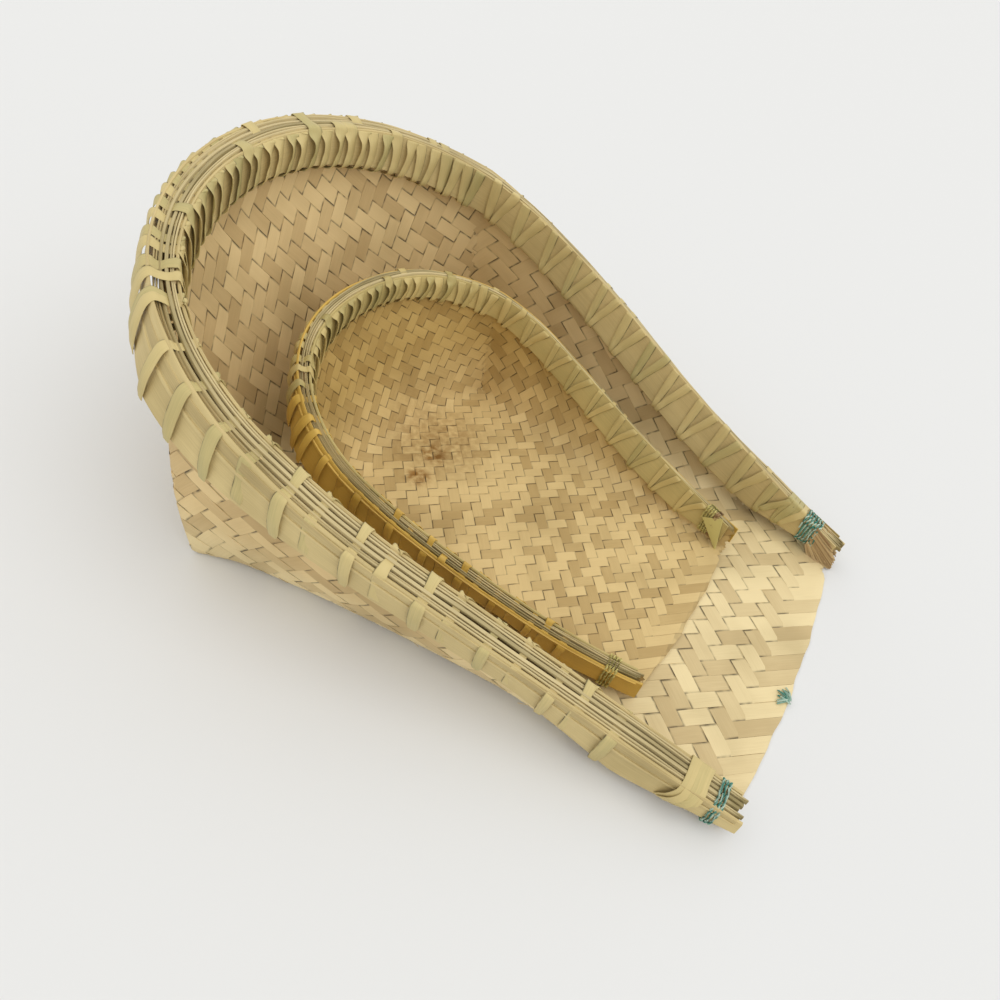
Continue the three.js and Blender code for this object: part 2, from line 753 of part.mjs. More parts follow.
// One basket: a panel, the rim pieces and the three bindings
function basketMeshes(frame, looks, extraSlots) {
  const { size } = frame;
  const meshes = [];
  const bindingSpan = (frame.length - 2 * size.bindingStart) / 3;
  const slots = [...extraSlots];
  ["left", "back", "right"].forEach((place, k) => {
    const start = size.bindingStart + k * bindingSpan;
    const turns = pairTurns(frame, start, start + bindingSpan);
    for (const turn of turns) {
      const halfWidth = size.bindingWidth / 2 + slotSideClearance;
      slots.push(slotSolid(frame, turn.slot, halfWidth, stripSlotHeight));
    }
    const winding = flatWinding(frame, turns, size.bindingWidth);
    const name = `${size.name}_binding_${place}`;
    reportGap(name, winding.gap);
    meshes.push(makeMesh(name, winding.geometry, looks.binding));
  });
  meshes.push(makeMesh(`${size.name}_woven_panel`, wovenPanel(frame, slots), looks.panel));
  const innerEnd = frame.length - innerBandTrim;
  const bands = {
    inner_band: [innerBand(frame, innerBandTrim, innerEnd), looks.innerBand],
    outer_band: [outerBand(frame, outerBandTrim, frame.length - outerBandTrim), looks.outerBand],
  };
  for (const [piece, [geometry, look]] of Object.entries(bands)) {
    meshes.push(makeMesh(`${size.name}_${piece}`, geometry, look));
  }
  frame.stack.splintStarts.forEach((splint, k) => {
    const trim = splintTrim * (1 + (k % 3));
    const geometry = rimSplint(frame, splint, trim, frame.length - trim);
    meshes.push(makeMesh(`${size.name}_rim_splint_${k + 1}`, geometry, looks.splint));
  });
  return meshes;
}

// A slot wide enough for several close turns
function wideSlot(frame, from, to, height) {
  return slotSolid(frame, (from + to) / 2, (to - from) / 2 + slotSideClearance, height);
}

// The frayed end of the rim on the right: splint ends spread like a fan against the inner band
function tipFan(frame) {
  const steps = 24;
  const end = frame.length - fanFromTip;
  const height = bandHeightAt(frame, end) * fanHeightShare;
  const shape = new THREE.Shape();
  shape.moveTo(0, 0);
  for (let k = 0; k <= steps; k += 1) {
    const angle = (Math.PI / 2) * (k / steps);
    const lobe = fanLobeDepth * Math.abs(Math.sin((fanLobes * Math.PI * k) / steps));
    shape.lineTo((fanReach - lobe) * Math.sin(angle), (height - lobe) * Math.cos(angle));
  }
  const outline = shape.getPoints();
  const base = end - fanReach;
  const ring = (depth) => outline.map((p) => {
    return rimPoint(frame, base + p.x, -depth - seatGap, p.y + fanDrop);
  });
  return loftRings([ring(0), ring(fanThickness)], outline);
}

// A short twine tied through the front edge of the floor
function frontTie(frame) {
  const { size } = frame;
  const radius = twineDiameter / 2;
  const topZ = size.panelThickness + seatGap + radius;
  const share = 1 - (frontTieX / size.floorTipHalfWidth) ** 2;
  const edgeY = size.frontEdgeY - size.frontEdgeBulge * share;
  const path = [];
  path.push(new THREE.Vector3(frontTieX, edgeY - seatGap - radius, seatGap + radius));
  path.push(new THREE.Vector3(frontTieX, edgeY - seatGap - radius, topZ));
  const loopSteps = 20;
  const centreY = edgeY + frontTieTail;
  for (let k = 0; k <= loopSteps; k += 1) {
    const angle = -Math.PI / 2 + (2 * Math.PI * frontTieTurns * k) / loopSteps;
    const lift = (k / loopSteps) * frontTieLift;
    path.push(new THREE.Vector3(
      frontTieX + frontTieLoopRadius * Math.cos(angle),
      centreY + frontTieLoopRadius * Math.sin(angle),
      topZ + lift,
    ));
  }
  const rings = path.map((point, i) => {
    const before = path[Math.max(i - 1, 0)];
    const after = path[Math.min(i + 1, path.length - 1)];
    const along = new THREE.Vector3().subVectors(after, before).normalize();
    const isUpright = Math.abs(along.z) > Math.abs(along.x) + Math.abs(along.y);
    const reference = isUpright ? new THREE.Vector3(1, 0, 0) : new THREE.Vector3(0, 0, 1);
    const side = new THREE.Vector3().crossVectors(along, reference).normalize();
    const other = new THREE.Vector3().crossVectors(side, along).normalize();
    return ringAround(point, side, other, radius);
  });
  return loftRings(rings, unitOutline());
}

// Large basket
const largeFrame = rimFrame(large);
const twineSlotHeight = bindingSeat - slotTopClearance + twineDiameter + slotFootClearance;
const leftWrapTurns = closeTurns(leftEndWrap.from, leftEndWrap.turns, leftEndWrap.stripWidth);
const rightWrapStep = rightEndWrap.stripWidth + endWrapGap;
const rightWrapReach = rightEndWrap.stripWidth + (rightEndWrap.turns - 0.5) * rightWrapStep;
const rightWrapTurns = closeTurns(
  largeFrame.length - rightEndWrap.from - rightWrapReach,
  rightEndWrap.turns,
  rightEndWrap.stripWidth,
);

function turnSlot(frame, turns, width) {
  const first = turns[0].slot - width / 2;
  const last = turns[turns.length - 1].slot + width / 2;
  return wideSlot(frame, first, last, stripSlotHeight);
}

function twineSlot(frame, from, turnCount) {
  const reach = twineDiameter / 2;
  return wideSlot(frame, from - reach, from + turnCount * twinePitch + reach, twineSlotHeight);
}

const rightTwineFrom = largeFrame.length - rightTwine.from - rightTwine.turns * twinePitch;
const largeLooks = {
  panel: paleStraw,
  innerBand: greenStraw,
  outerBand: paleStraw,
  splint: greenStraw,
  binding: greenStraw,
};
const largeMeshes = basketMeshes(
  largeFrame,
  largeLooks,
  [
    turnSlot(largeFrame, leftWrapTurns, leftEndWrap.stripWidth),
    turnSlot(largeFrame, rightWrapTurns, rightEndWrap.stripWidth),
    twineSlot(largeFrame, leftTwine.from, leftTwine.turns),
    twineSlot(largeFrame, rightTwineFrom, rightTwine.turns),
  ],
);
const endPieces = [
  ["large_end_wrap_left", flatWinding(largeFrame, leftWrapTurns, leftEndWrap.stripWidth), greenStraw],
  ["large_end_wrap_right", flatWinding(largeFrame, rightWrapTurns, rightEndWrap.stripWidth), greenStraw],
  ["large_twine_left", twineWinding(largeFrame, leftTwine.from, leftTwine.turns), greenTwine],
  ["large_twine_right", twineWinding(largeFrame, rightTwineFrom, rightTwine.turns), greenTwine],
];
for (const [name, winding, look] of endPieces) {
  reportGap(name, winding.gap);
  largeMeshes.push(makeMesh(name, winding.geometry, look));
}
largeMeshes.push(makeMesh("large_tip_fan_right", tipFan(largeFrame), brownFibre));
largeMeshes.push(makeMesh("large_front_tie", frontTie(largeFrame), greenTwine));

// Small basket
const smallFrame = rimFrame(small);
const smallRightTieFrom = smallFrame.length - smallRightTie.from - smallRightTie.turns * twinePitch;
const smallLooks = {
  panel: goldenStraw,
  innerBand: goldenStraw,
  outerBand: goldenBand,
  splint: paleStraw,
  binding: goldenStraw,
};
const smallMeshes = basketMeshes(
  smallFrame,
  smallLooks,
  [
    twineSlot(smallFrame, smallLeftTie.from, smallLeftTie.turns),
    twineSlot(smallFrame, smallRightTieFrom, smallRightTie.turns),
  ],
);
const smallTies = [
  ["small_tip_tie_left", twineWinding(smallFrame, smallLeftTie.from, smallLeftTie.turns)],
  ["small_tip_tie_right", twineWinding(smallFrame, smallRightTieFrom, smallRightTie.turns)],
];
for (const [name, winding] of smallTies) {
  reportGap(name, winding.gap);
  smallMeshes.push(makeMesh(name, winding.geometry, yellowStrip));
}

const smallBasket = new THREE.Group();
smallBasket.add(...smallMeshes);
smallBasket.rotation.z = smallTurn;
smallBasket.position.set(smallShiftX, smallShiftY, large.panelThickness + seatGap);

const baskets = new THREE.Group();
baskets.add(...largeMeshes, smallBasket);

// The origin is the middle of the footprint, on the surface that the basket rests on
baskets.updateMatrixWorld(true);
const footprint = new THREE.Box3().setFromObject(baskets);
const middle = footprint.getCenter(new THREE.Vector3());
baskets.position.set(-middle.x, -middle.y, 0);

const group = new THREE.Group();
group.add(baskets);

export default group;
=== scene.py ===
# %% [markdown]
# # A nested pair of bamboo winnowing baskets
# Each basket is a twill mat of split bamboo. Its back and sides are turned up, and its rim is a sandwich of
# bands and splints lashed with flat strips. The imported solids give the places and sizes. This file builds
# what the eye sees around them: real woven strips, ridged bands, slender splints and bound turns.

# %% Load the frame
import math
from functools import partial

import bmesh
import bpy
import numpy as np
from mathutils import Matrix, Vector


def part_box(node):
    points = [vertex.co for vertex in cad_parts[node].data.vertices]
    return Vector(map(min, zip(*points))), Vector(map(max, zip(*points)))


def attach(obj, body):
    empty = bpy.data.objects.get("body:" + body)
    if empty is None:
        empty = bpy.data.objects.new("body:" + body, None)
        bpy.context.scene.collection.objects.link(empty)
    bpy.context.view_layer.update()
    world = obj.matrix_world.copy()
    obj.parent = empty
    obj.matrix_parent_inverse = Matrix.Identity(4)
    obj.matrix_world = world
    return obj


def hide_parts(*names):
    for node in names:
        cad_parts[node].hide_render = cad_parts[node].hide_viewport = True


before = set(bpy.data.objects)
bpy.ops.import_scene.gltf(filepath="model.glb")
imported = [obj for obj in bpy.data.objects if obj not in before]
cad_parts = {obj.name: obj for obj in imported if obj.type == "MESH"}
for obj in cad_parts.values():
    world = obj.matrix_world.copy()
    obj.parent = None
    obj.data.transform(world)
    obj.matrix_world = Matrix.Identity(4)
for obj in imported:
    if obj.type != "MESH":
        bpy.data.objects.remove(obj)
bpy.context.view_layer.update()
scene = bpy.context.scene
MM = 0.001

# %% [markdown]
# ## The camera
# The camera was fitted to edges of the real pair: the rims, the front edges and the pointed floor corner. It
# looks down on the left side of the mouth at 44 degrees and is rolled a little. The lens is written for a
# picture as wide as it is high.

# %% Camera
camera_azimuth = math.radians(-70.10)
camera_height_angle = math.radians(44.30)
camera_roll = math.radians(15.02)
camera_place = Vector((-311.2, -109.9, 332.1)) * MM

forward = Vector((
    -math.sin(camera_azimuth) * math.cos(camera_height_angle),
    math.cos(camera_azimuth) * math.cos(camera_height_angle),
    -math.sin(camera_height_angle),
))
level_right = forward.cross(Vector((0, 0, 1))).normalized()
level_up = level_right.cross(forward)
right = math.cos(camera_roll) * level_right + math.sin(camera_roll) * level_up
up = math.cos(camera_roll) * level_up - math.sin(camera_roll) * level_right

camera_data = bpy.data.cameras.new("camera")
camera_data.sensor_width = 36
camera_data.lens = 29.24
camera_data.clip_start = 0.01
camera = bpy.data.objects.new("camera", camera_data)
scene.collection.objects.link(camera)
turn = Matrix((right, up, -forward)).transposed().to_4x4()
camera.matrix_world = Matrix.Translation(camera_place) @ turn
scene.camera = camera
print("camera at", tuple(round(v, 3) for v in camera_place))

# %% [markdown]
# ## Floor and light
# The pair lies on a plain pale floor in soft light from above. A large floor takes the shadow. Lamps close
# by would leave a bright spot on the floor, so the world gives most of the light, and one very soft sun
# shines from above the mouths. Together they light a level surface a little above one, so colours render
# about as they are written.

# %% Floor and light
FLOOR_HALF = 4.0
floor_data = bpy.data.meshes.new("studio_floor")
floor_corners = [(x * FLOOR_HALF, y * FLOOR_HALF, 0) for x, y in ((-1, -1), (1, -1), (1, 1), (-1, 1))]
floor_data.from_pydata(floor_corners, [], [(0, 1, 2, 3)])
floor = bpy.data.objects.new("studio_floor", floor_data)
scene.collection.objects.link(floor)
floor_paint = bpy.data.materials.new("studio_floor")
floor_paint.use_nodes = True
floor_shader = floor_paint.node_tree.nodes["Principled BSDF"]
floor_shader.inputs["Base Color"].default_value = (0.74, 0.74, 0.725, 1)
floor_shader.inputs["Roughness"].default_value = 0.9
floor_data.materials.append(floor_paint)

world = bpy.data.worlds.new("world")
scene.world = world
world.use_nodes = True
sky = world.node_tree.nodes["Background"]
sky.inputs["Color"].default_value = (1, 1, 1, 1)
sky.inputs["Strength"].default_value = 0.9

sun_data = bpy.data.lights.new("soft_sun", "SUN")
sun_data.energy = 0.84
sun_data.angle = math.radians(60)
sun = bpy.data.objects.new("soft_sun", sun_data)
scene.collection.objects.link(sun)
sun_from = Vector((-0.1, -0.42, 0.85))
sun.matrix_world = (-sun_from).to_track_quat("-Z", "Y").to_matrix().to_4x4()
scene.view_settings.view_transform = "Standard"
print("world", sky.inputs["Strength"].default_value, "sun", sun_data.energy)

# %% [markdown]
# ## The sizes of both baskets
# The mat's plan and the rim's height follow a few named sizes, the same that the solids were built from. All
# are in millimetres, or shares of a length. The small basket lies in the large one, turned by about two
# degrees.

# %% Sizes
SEAT_GAP = 0.35
SLOT_REACH = 3.2
CORNER_POINT_POWER = 5
FULL_BELLY_LENGTH = 60
SEATING_PASSES = 8
PACK_SHIFT = np.array((0.0, -4.16, 0.0))

LARGE = {
    "name": "large", "body": "root", "turn": 0.0, "place": (0.0, 0.0, 0.0),
    "back_y": 172.6, "shoulder_y": 60, "half_width": 126, "tip_y": -174, "tip_half": 90,
    "tip_flare": 0.14, "back_full": 0.452, "shoulder_full": 0.718, "side_full": 0.292, "tip_full": 0.712,
    "heights": (17, 54, 103.5, 154), "corner_half": 129, "corner_y": 113, "corner_rim_y": 108,
    "crease_y": 130, "side_half": 117.5, "floor_tip": 84, "front_y": -172.5, "front_bulge": 4.5, "belly": 3,
    "flare": 16, "flare_from": -45, "flare_full": -125, "panel": 1.8, "band": 1.5, "splint": 2.0,
    "inside": 2, "outside": 1, "inner_band": 28, "outer_share": 0.9, "slope": 0.14,
    "lean": 0.25, "rise": 0.44, "clearance": 6,
}
SMALL = {
    "name": "small", "body": "small_basket", "turn": -2.3, "place": (1.2, -0.6, 2.15),
    "back_y": 116.6, "shoulder_y": 42, "half_width": 86.5, "tip_y": -112, "tip_half": 59.5,
    "tip_flare": 0.31, "back_full": 0.685, "shoulder_full": 0.48, "side_full": 0.244, "tip_full": 0.18,
    "heights": (19, 28.6, 63.5, 89.5), "corner_half": 84.5, "corner_y": 77, "corner_rim_y": 74,
    "crease_y": 88, "side_half": 77.5, "floor_tip": 54.5, "front_y": -113, "front_bulge": 3, "belly": 2,
    "flare": 8, "flare_from": -28, "flare_full": -80, "panel": 1.3, "band": 1.3, "splint": 1.7,
    "inside": 0, "outside": 1, "inner_band": 19, "outer_share": 0.96, "slope": 0.14,
    "lean": 0.2, "rise": 0.35, "clearance": 5,
}
print("sizes", len(LARGE), len(SMALL))

# %% [markdown]
# ## Sums that come back
# Every shape below is an array of points. A few helpers do what is needed again and again: a curve between
# handles, soft steps and humps, directions of length one and the length along a path.

# %% Curve helpers


def bezier(a, b, c, d, t):
    """A cubic curve at the shares t, between handles that are numbers or points."""
    t = t[:, None]
    s = 1 - t
    return s ** 3 * a + 3 * s * s * t * b + 3 * s * t * t * c + t ** 3 * d


def smoothstep(x, low, high):
    t = np.clip((x - low) / (high - low), 0, 1)
    return t * t * (3 - 2 * t)


def hump(x, middle, reach):
    """One at the middle, falling smoothly to nothing."""
    return np.exp(-((x - middle) / reach) ** 2)


def unit(v):
    return v / np.linalg.norm(v, axis=-1, keepdims=True)


def square_to(v, run):
    """The part of each direction that is at right angles to run, with length one."""
    return unit(v - np.sum(v * run, axis=1)[:, None] * run)


def path_lengths(points):
    """The length along a path at each of its points."""
    return np.concatenate([[0], np.cumsum(np.linalg.norm(np.diff(points, axis=0), axis=1))])


# %% [markdown]
# ## Stations along a rim
# A station is one place along the rim, counted from the left tip round the back to the right tip. It holds
# the rim's inner top edge and the foot of the wall below it. The rim could be drawn by hand as a curve, but
# then no other piece would know where it runs. So the right half is worked out here from the sizes.

# %% Half a rim
BACK_STATIONS = 70
SIDE_STATIONS = 110
PLAN_STEPS = 800


def half_plan(s):
    """The rim's right half seen from above: two curves that meet at the shoulder."""
    back, side = s["back_y"] - s["shoulder_y"], s["shoulder_y"] - s["tip_y"]
    w, tip = s["half_width"], s["tip_full"] * side
    t = np.linspace(0, 1, PLAN_STEPS)
    first = bezier(*map(np.array, (
        (0, s["back_y"]), (s["back_full"] * w, s["back_y"]),
        (w, s["shoulder_y"] + s["shoulder_full"] * back), (w, s["shoulder_y"]))), t)
    second = bezier(*map(np.array, (
        (w, s["shoulder_y"]), (w, s["shoulder_y"] - s["side_full"] * side),
        (s["tip_half"] + s["tip_flare"] * tip, s["tip_y"] + tip), (s["tip_half"], s["tip_y"]))), t)
    return np.concatenate([first, second[1:]])


def half_stations(s):
    """Rim, foot and flare of the right half, from the middle of the back to the tip."""
    plan = half_plan(s)
    lengths = path_lengths(plan)
    total = lengths[-1]
    corner = np.interp(-s["corner_rim_y"], -plan[:, 1], lengths) / total
    shares = np.concatenate([
        corner * np.arange(BACK_STATIONS + 1) / BACK_STATIONS,
        corner + (1 - corner) * np.arange(1, SIDE_STATIONS + 1) / SIDE_STATIONS,
    ])
    x, y = (np.interp(shares * total, lengths, plan[:, k]) for k in (0, 1))
    z = bezier(*s["heights"], (y - s["tip_y"]) / (s["back_y"] - s["tip_y"]))[:, 0]
    back = np.clip(shares / corner, 0, 1)
    side = np.clip((shares - corner) / (1 - corner), 0, 1)
    foot_x = s["side_half"] + (s["floor_tip"] - s["side_half"]) * side
    foot_x += (s["corner_half"] - s["side_half"]) * (1 - side) ** CORNER_POINT_POWER
    foot_y = s["corner_y"] + (s["tip_y"] - s["corner_y"]) * side
    flare = s["flare"] * smoothstep(-foot_y, -s["flare_from"], -s["flare_full"])
    at_back = shares <= corner
    foot_x = np.where(at_back, s["corner_half"] * back, foot_x + flare)
    foot_y = np.where(at_back, s["crease_y"] + (s["corner_y"] - s["crease_y"]) * back * back, foot_y)
    return np.stack([x, y, z], 1), np.stack([foot_x, foot_y, 0 * x], 1), np.where(at_back, 0, flare)


# %% [markdown]
# ## The basket as a ruler
# Everything on the rim is placed by three numbers: the travel along the rim, the distance out and the
# distance down. A lattice or a shrinkwrap could bend finished pieces onto the rim, but these three numbers
# let each piece be drawn where it lies. Round the back the real rim climbs outward and its bands are
# narrower, and at the left shoulder the outer band has worked loose and stands off at its foot.

# %% Basket
BACK_NARROWING = 0.36
BACK_CLIMB = 0.28
SHOULDER_PLACE = 0.35
SHOULDER_REACH = 0.09
SHOULDER_STAND_OFF = {"large": 6.5, "small": 3.5}
SHOULDER_LIFT = 0.42
SHOULDER_DEPTH = 0.9


class Basket:
    """One basket's shape: stations along its rim, and points placed by travel, out and down."""

    def __init__(self, size):
        self.size = s = size
        self.name = s["name"]
        step = s["splint"] + SEAT_GAP
        count = s["inside"] + 1 + s["outside"]
        self.splint_starts = [s["band"] + SEAT_GAP + k * step for k in range(count)]
        cap_middle = self.splint_starts[s["inside"]] + s["splint"] / 2
        self.panel_inside = cap_middle - s["panel"] / 2
        self.panel_outside = cap_middle + s["panel"] / 2
        self.outer_inside = s["band"] + SEAT_GAP + count * step
        self.width = self.outer_inside + s["band"]
        self.lay_stations(*half_stations(s))

    def lay_stations(self, rim, foot, flare):
        """Mirrors the half and finds the directions. The wall leans, so they are found in passes."""
        s = self.size
        mirror = np.array([-1, 1, 1])
        rim = np.concatenate([(rim * mirror)[:0:-1], rim])
        self.foot = np.concatenate([(foot * mirror)[:0:-1], foot])
        self.flare = np.concatenate([-flare[:0:-1], flare])
        self.corner_index = (SIDE_STATIONS, SIDE_STATIONS + 2 * BACK_STATIONS)
        self.travel = path_lengths(rim)
        self.length = self.travel[-1]
        ends = np.concatenate([rim[:1], rim, rim[-1:]])
        self.along = unit(ends[2:] - ends[:-2])
        self.back_share = self.along[:, 0] ** 2
        self.rise = s["rise"] * self.back_share
        down = self.foot - rim
        for _ in range(SEATING_PASSES):
            self.wall = np.linalg.norm(down, axis=1)
            self.band = np.minimum(s["inner_band"], self.wall - s["clearance"])
            self.out = unit(np.cross(self.along, down))
            reach = self.panel_outside + s["lean"] * (self.band + SLOT_REACH)
            self.top = rim + self.out * reach[:, None]
            down = self.foot - self.top
        self.down = unit(down)

    def at(self, travel, values):
        """Values of the stations, read at any travels."""
        travel = np.clip(travel, 0, self.length)
        if values.ndim == 1:
            return np.interp(travel, self.travel, values)
        return np.stack([np.interp(travel, self.travel, values[:, k]) for k in range(3)], -1)

    def point(self, travel, out, down):
        """Points in the basket's own frame, in millimetres."""
        travel, out, down = np.broadcast_arrays(*(np.asarray(v, float) for v in (travel, out, down)))
        foot = self.at(travel, self.band) + SLOT_REACH
        above = foot - np.minimum(down, foot)
        outward = out - self.panel_outside - self.size["lean"] * above
        downward = down - self.at(travel, self.rise) * out * above / foot
        beyond = (np.clip(travel, 0, self.length) - travel)[..., None]
        place = self.at(travel, self.top) - beyond * self.at(travel, self.along)
        place = place + self.at(travel, self.out) * outward[..., None]
        return place + self.at(travel, self.down) * downward[..., None]

    def band_at(self, travel):
        """How far down the bands reach: less round the back, where the rim rolls outward."""
        return self.at(travel, self.band * (1 - BACK_NARROWING * self.back_share))

    def stand_off(self, travel):
        """How far the outer band's foot stands off at the left shoulder, where it has worked loose."""
        share = np.asarray(travel, float) / self.length
        return SHOULDER_STAND_OFF[self.name] * hump(share, SHOULDER_PLACE, SHOULDER_REACH)

    def crown(self, travel, out):
        """The down value of the rim's top at any out: it climbs outward round the back."""
        climb = BACK_CLIMB * self.at(travel, self.back_share)
        return (self.size["slope"] - climb) * np.asarray(out, float)

    def to_frame(self, points):
        """Points from the basket's own frame to the row frame, in metres."""
        turn = math.radians(self.size["turn"])
        c, s = math.cos(turn), math.sin(turn)
        turned = np.asarray(points, float) @ np.array([[c, s, 0], [-s, c, 0], [0, 0, 1]])
        return (turned + np.array(self.size["place"]) + PACK_SHIFT) * MM


large, small = Basket(LARGE), Basket(SMALL)
print("rim lengths", round(large.length), round(small.length), "mm")

# %% [markdown]
# ## Do both models agree
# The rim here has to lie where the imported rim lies. The boxes of the two are printed side by side.

# %% Compare with the solids
for basket in (large, small):
    low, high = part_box(f"{basket.name}_outer_band")
    travel = np.linspace(1, basket.length - 1, 400)
    outer_edge = basket.to_frame(basket.point(travel, basket.width, basket.size["slope"] * basket.width))
    print(basket.name, "solid", [round(v / MM, 1) for v in (*low, *high)],
          "here", np.round(outer_edge.min(0) / MM, 1), np.round(outer_edge.max(0) / MM, 1))

# %% [markdown]
# ## Building node trees in a script
# Materials and woven strips both come from node trees. In the editor, nodes are joined by hand. Here one
# call adds a node, sets its values, and links each value that is another node's socket. Short helpers name
# the nodes that come back most.

# %% Node helpers


def add(tree, kind, values=None, **settings):
    """Adds a node. Values go to its inputs by name or number, as numbers or as links."""
    node = tree.nodes.new(kind)
    for name, setting in settings.items():
        setattr(node, name, setting)
    for place, value in (values or {}).items():
        if isinstance(value, bpy.types.NodeSocket):
            tree.links.new(value, node.inputs[place])
        else:
            node.inputs[place].default_value = value
    return node


def calc(tree, operation, *values):
    """A math node on sockets or numbers."""
    return add(tree, "ShaderNodeMath", dict(enumerate(values)), operation=operation).outputs[0]


def vector_calc(tree, operation, first, second):
    """A vector math node on two vectors, or on a vector and the number that scales it."""
    place = "Scale" if operation == "SCALE" else 1
    node = add(tree, "ShaderNodeVectorMath", {0: first, place: second}, operation=operation)
    return node.outputs["Value" if operation == "DISTANCE" else "Vector"]


def ranged(tree, value, low, high, start=0.0, end=1.0, kind="LINEAR"):
    """Turns values from low to high into values from start to end."""
    places = dict(enumerate((value, low, high, start, end)))
    return add(tree, "ShaderNodeMapRange", places, interpolation_type=kind).outputs[0]


def noise(tree, vector, scale, detail=2.0, roughness=0.5):
    values = {"Vector": vector, "Scale": scale, "Detail": detail, "Roughness": roughness}
    return add(tree, "ShaderNodeTexNoise", values).outputs[0]


def tinted(tree, share, colour, tint):
    """The colour, multiplied by a tint as far as the share goes."""
    values = {0: share, 6: colour, 7: (*tint, 1)}
    return add(tree, "ShaderNodeMix", values, data_type="RGBA", blend_type="MULTIPLY").outputs[2]


def new_group(name, kind, inputs, outputs):
    """A node group with named sockets: (name, socket type, default)."""
    tree = bpy.data.node_groups.new(name, kind)
    for socket_name, socket_type, default in inputs:
        socket = tree.interface.new_socket(
            socket_name, in_out="INPUT", socket_type=f"NodeSocket{socket_type}")
        if default is not None:
            socket.default_value = default
    for socket_name, socket_type in outputs:
        tree.interface.new_socket(socket_name, in_out="OUTPUT", socket_type=f"NodeSocket{socket_type}")
    return tree, tree.nodes.new("NodeGroupInput").outputs, tree.nodes.new("NodeGroupOutput").inputs


# %% [markdown]
# ## Split bamboo, one finish in many colours
# Every strip is split bamboo: long straight fibres, slow changes of tone along the strip and a little
# difference from strip to strip. Image textures could show it, but they would repeat. A node group reads the
# attributes that each strip carries: its place along and across the fibres, its own tone, and how much shade
# is painted on it where it dives into a slit beside its neighbour or lies under an edge. So the fibres always
# run along the strip, however it is bent.

# %% Bamboo fibre group
FIBRE_STRETCH = (0.045, 3.2, 1.7)
BLOTCH_STRETCH = (0.028, 0.12, 1.3)
LIGHT_BIAS = 1.7
STAIN_AND_SHADE_BROWN = (0.42, 0.27, 0.11)
fibre_group, given, result = new_group(
    "split_bamboo_fibre", "ShaderNodeTree",
    [
        ("Grain Place", "Vector", None),
        ("Tone", "Float", 0.5),
        ("Light", "Color", (0.7, 0.6, 0.35, 1)),
        ("Dark", "Color", (0.4, 0.3, 0.12, 1)),
        ("Fibre Strength", "Float", 0.3),
        ("Blotch Strength", "Float", 0.3),
        ("Slit Shade", "Float", 0.0),
        ("Stain And Shade", "Float", 0.0),
    ],
    [("Color", "Color"), ("Height", "Float")],
)
place = given["Grain Place"]
fibres = noise(fibre_group, vector_calc(fibre_group, "MULTIPLY", place, FIBRE_STRETCH), 1.0, 3.0, 0.6)
blotches = noise(fibre_group, vector_calc(fibre_group, "MULTIPLY", place, BLOTCH_STRETCH), 1.0)
darkness = calc(fibre_group, "POWER", given["Tone"], LIGHT_BIAS)
for pattern, strength in ((fibres, "Fibre Strength"), (blotches, "Blotch Strength")):
    part = calc(fibre_group, "MULTIPLY", calc(fibre_group, "SUBTRACT", pattern, 0.5), given[strength])
    darkness = calc(fibre_group, "ADD", darkness, part)
straw = add(fibre_group, "ShaderNodeMix", {0: darkness, 6: given["Light"], 7: given["Dark"]},
            data_type="RGBA").outputs[2]
# Painted shade: the Slit Shade attribute darkens the straw colour in slits and under edges
open_share = calc(fibre_group, "SUBTRACT", 1.0, given["Slit Shade"])
lit = ranged(fibre_group, open_share, 0.02, 0.46, 0.16, 1.0, "SMOOTHSTEP")
# The painted slit shade is uneven: a coarse noise along the strips makes it strong in some places and weak in
# others
uneven_slit_shade = ranged(fibre_group, noise(fibre_group, place, 0.16, 1.0), 0.38, 0.6, 0.25, 1.0)
shade = calc(fibre_group, "MULTIPLY", calc(fibre_group, "SUBTRACT", 1.0, lit), uneven_slit_shade)
shaded = vector_calc(fibre_group, "SCALE", straw, calc(fibre_group, "SUBTRACT", 1.0, shade))
# The stain input tints brown: real stains, and painted shade at the back of the small floor
fibre_group.links.new(tinted(fibre_group, given["Stain And Shade"], shaded, STAIN_AND_SHADE_BROWN), result["Color"])
fibre_group.links.new(fibres, result["Height"])
print("group", fibre_group.name, "with", len(fibre_group.nodes), "nodes")

# %% [markdown]
# ## Finishes
# Dried bamboo is matte, with a faint sheen where the skin is left on. Each finish is a light and a dark tone,
# in linear colour, and how strongly fibres and blotches show. The walls are browner than the floors, the
# weather leaves pale patches all over, and old grain has left brown stains on the small floor; a wide soft
# patch of painted shade darkens the back of that floor too. These follow the place on the object and not the
# strip, so they are added outside the group.

# %% Materials
WEATHER_TINT = (0.84, 0.83, 0.8)
WALL_FOOT = 0.004
WALL_TINT_TOP = 0.05
# Brown stains on the small floor, then a wide soft patch of painted shade at its back:
# x, y, z and radius in millimetres, with strength
SMALL_STAINS_AND_SHADE = ((12, 56, 3, 15, 1.0), (-10, 52, 4, 12, 1.0), (24, 60, 6, 45, 0.5))


def stain_and_shade_share(tree, spot, stains_and_shade):
    """How brown each point is: round stains and painted shade, broken up by a cloudy noise."""
    total = 0.0
    for x, y, z, radius, strength in stains_and_shade:
        far = vector_calc(tree, "DISTANCE", spot, (x * MM, y * MM, z * MM))
        fade = ranged(tree, far, radius * MM * 0.2, radius * MM, strength, 0.0, "SMOOTHSTEP")
        total = calc(tree, "MAXIMUM", total, fade)
    return calc(tree, "MULTIPLY", total, ranged(tree, noise(tree, spot, 260.0, 3.0), 0.3, 0.62))


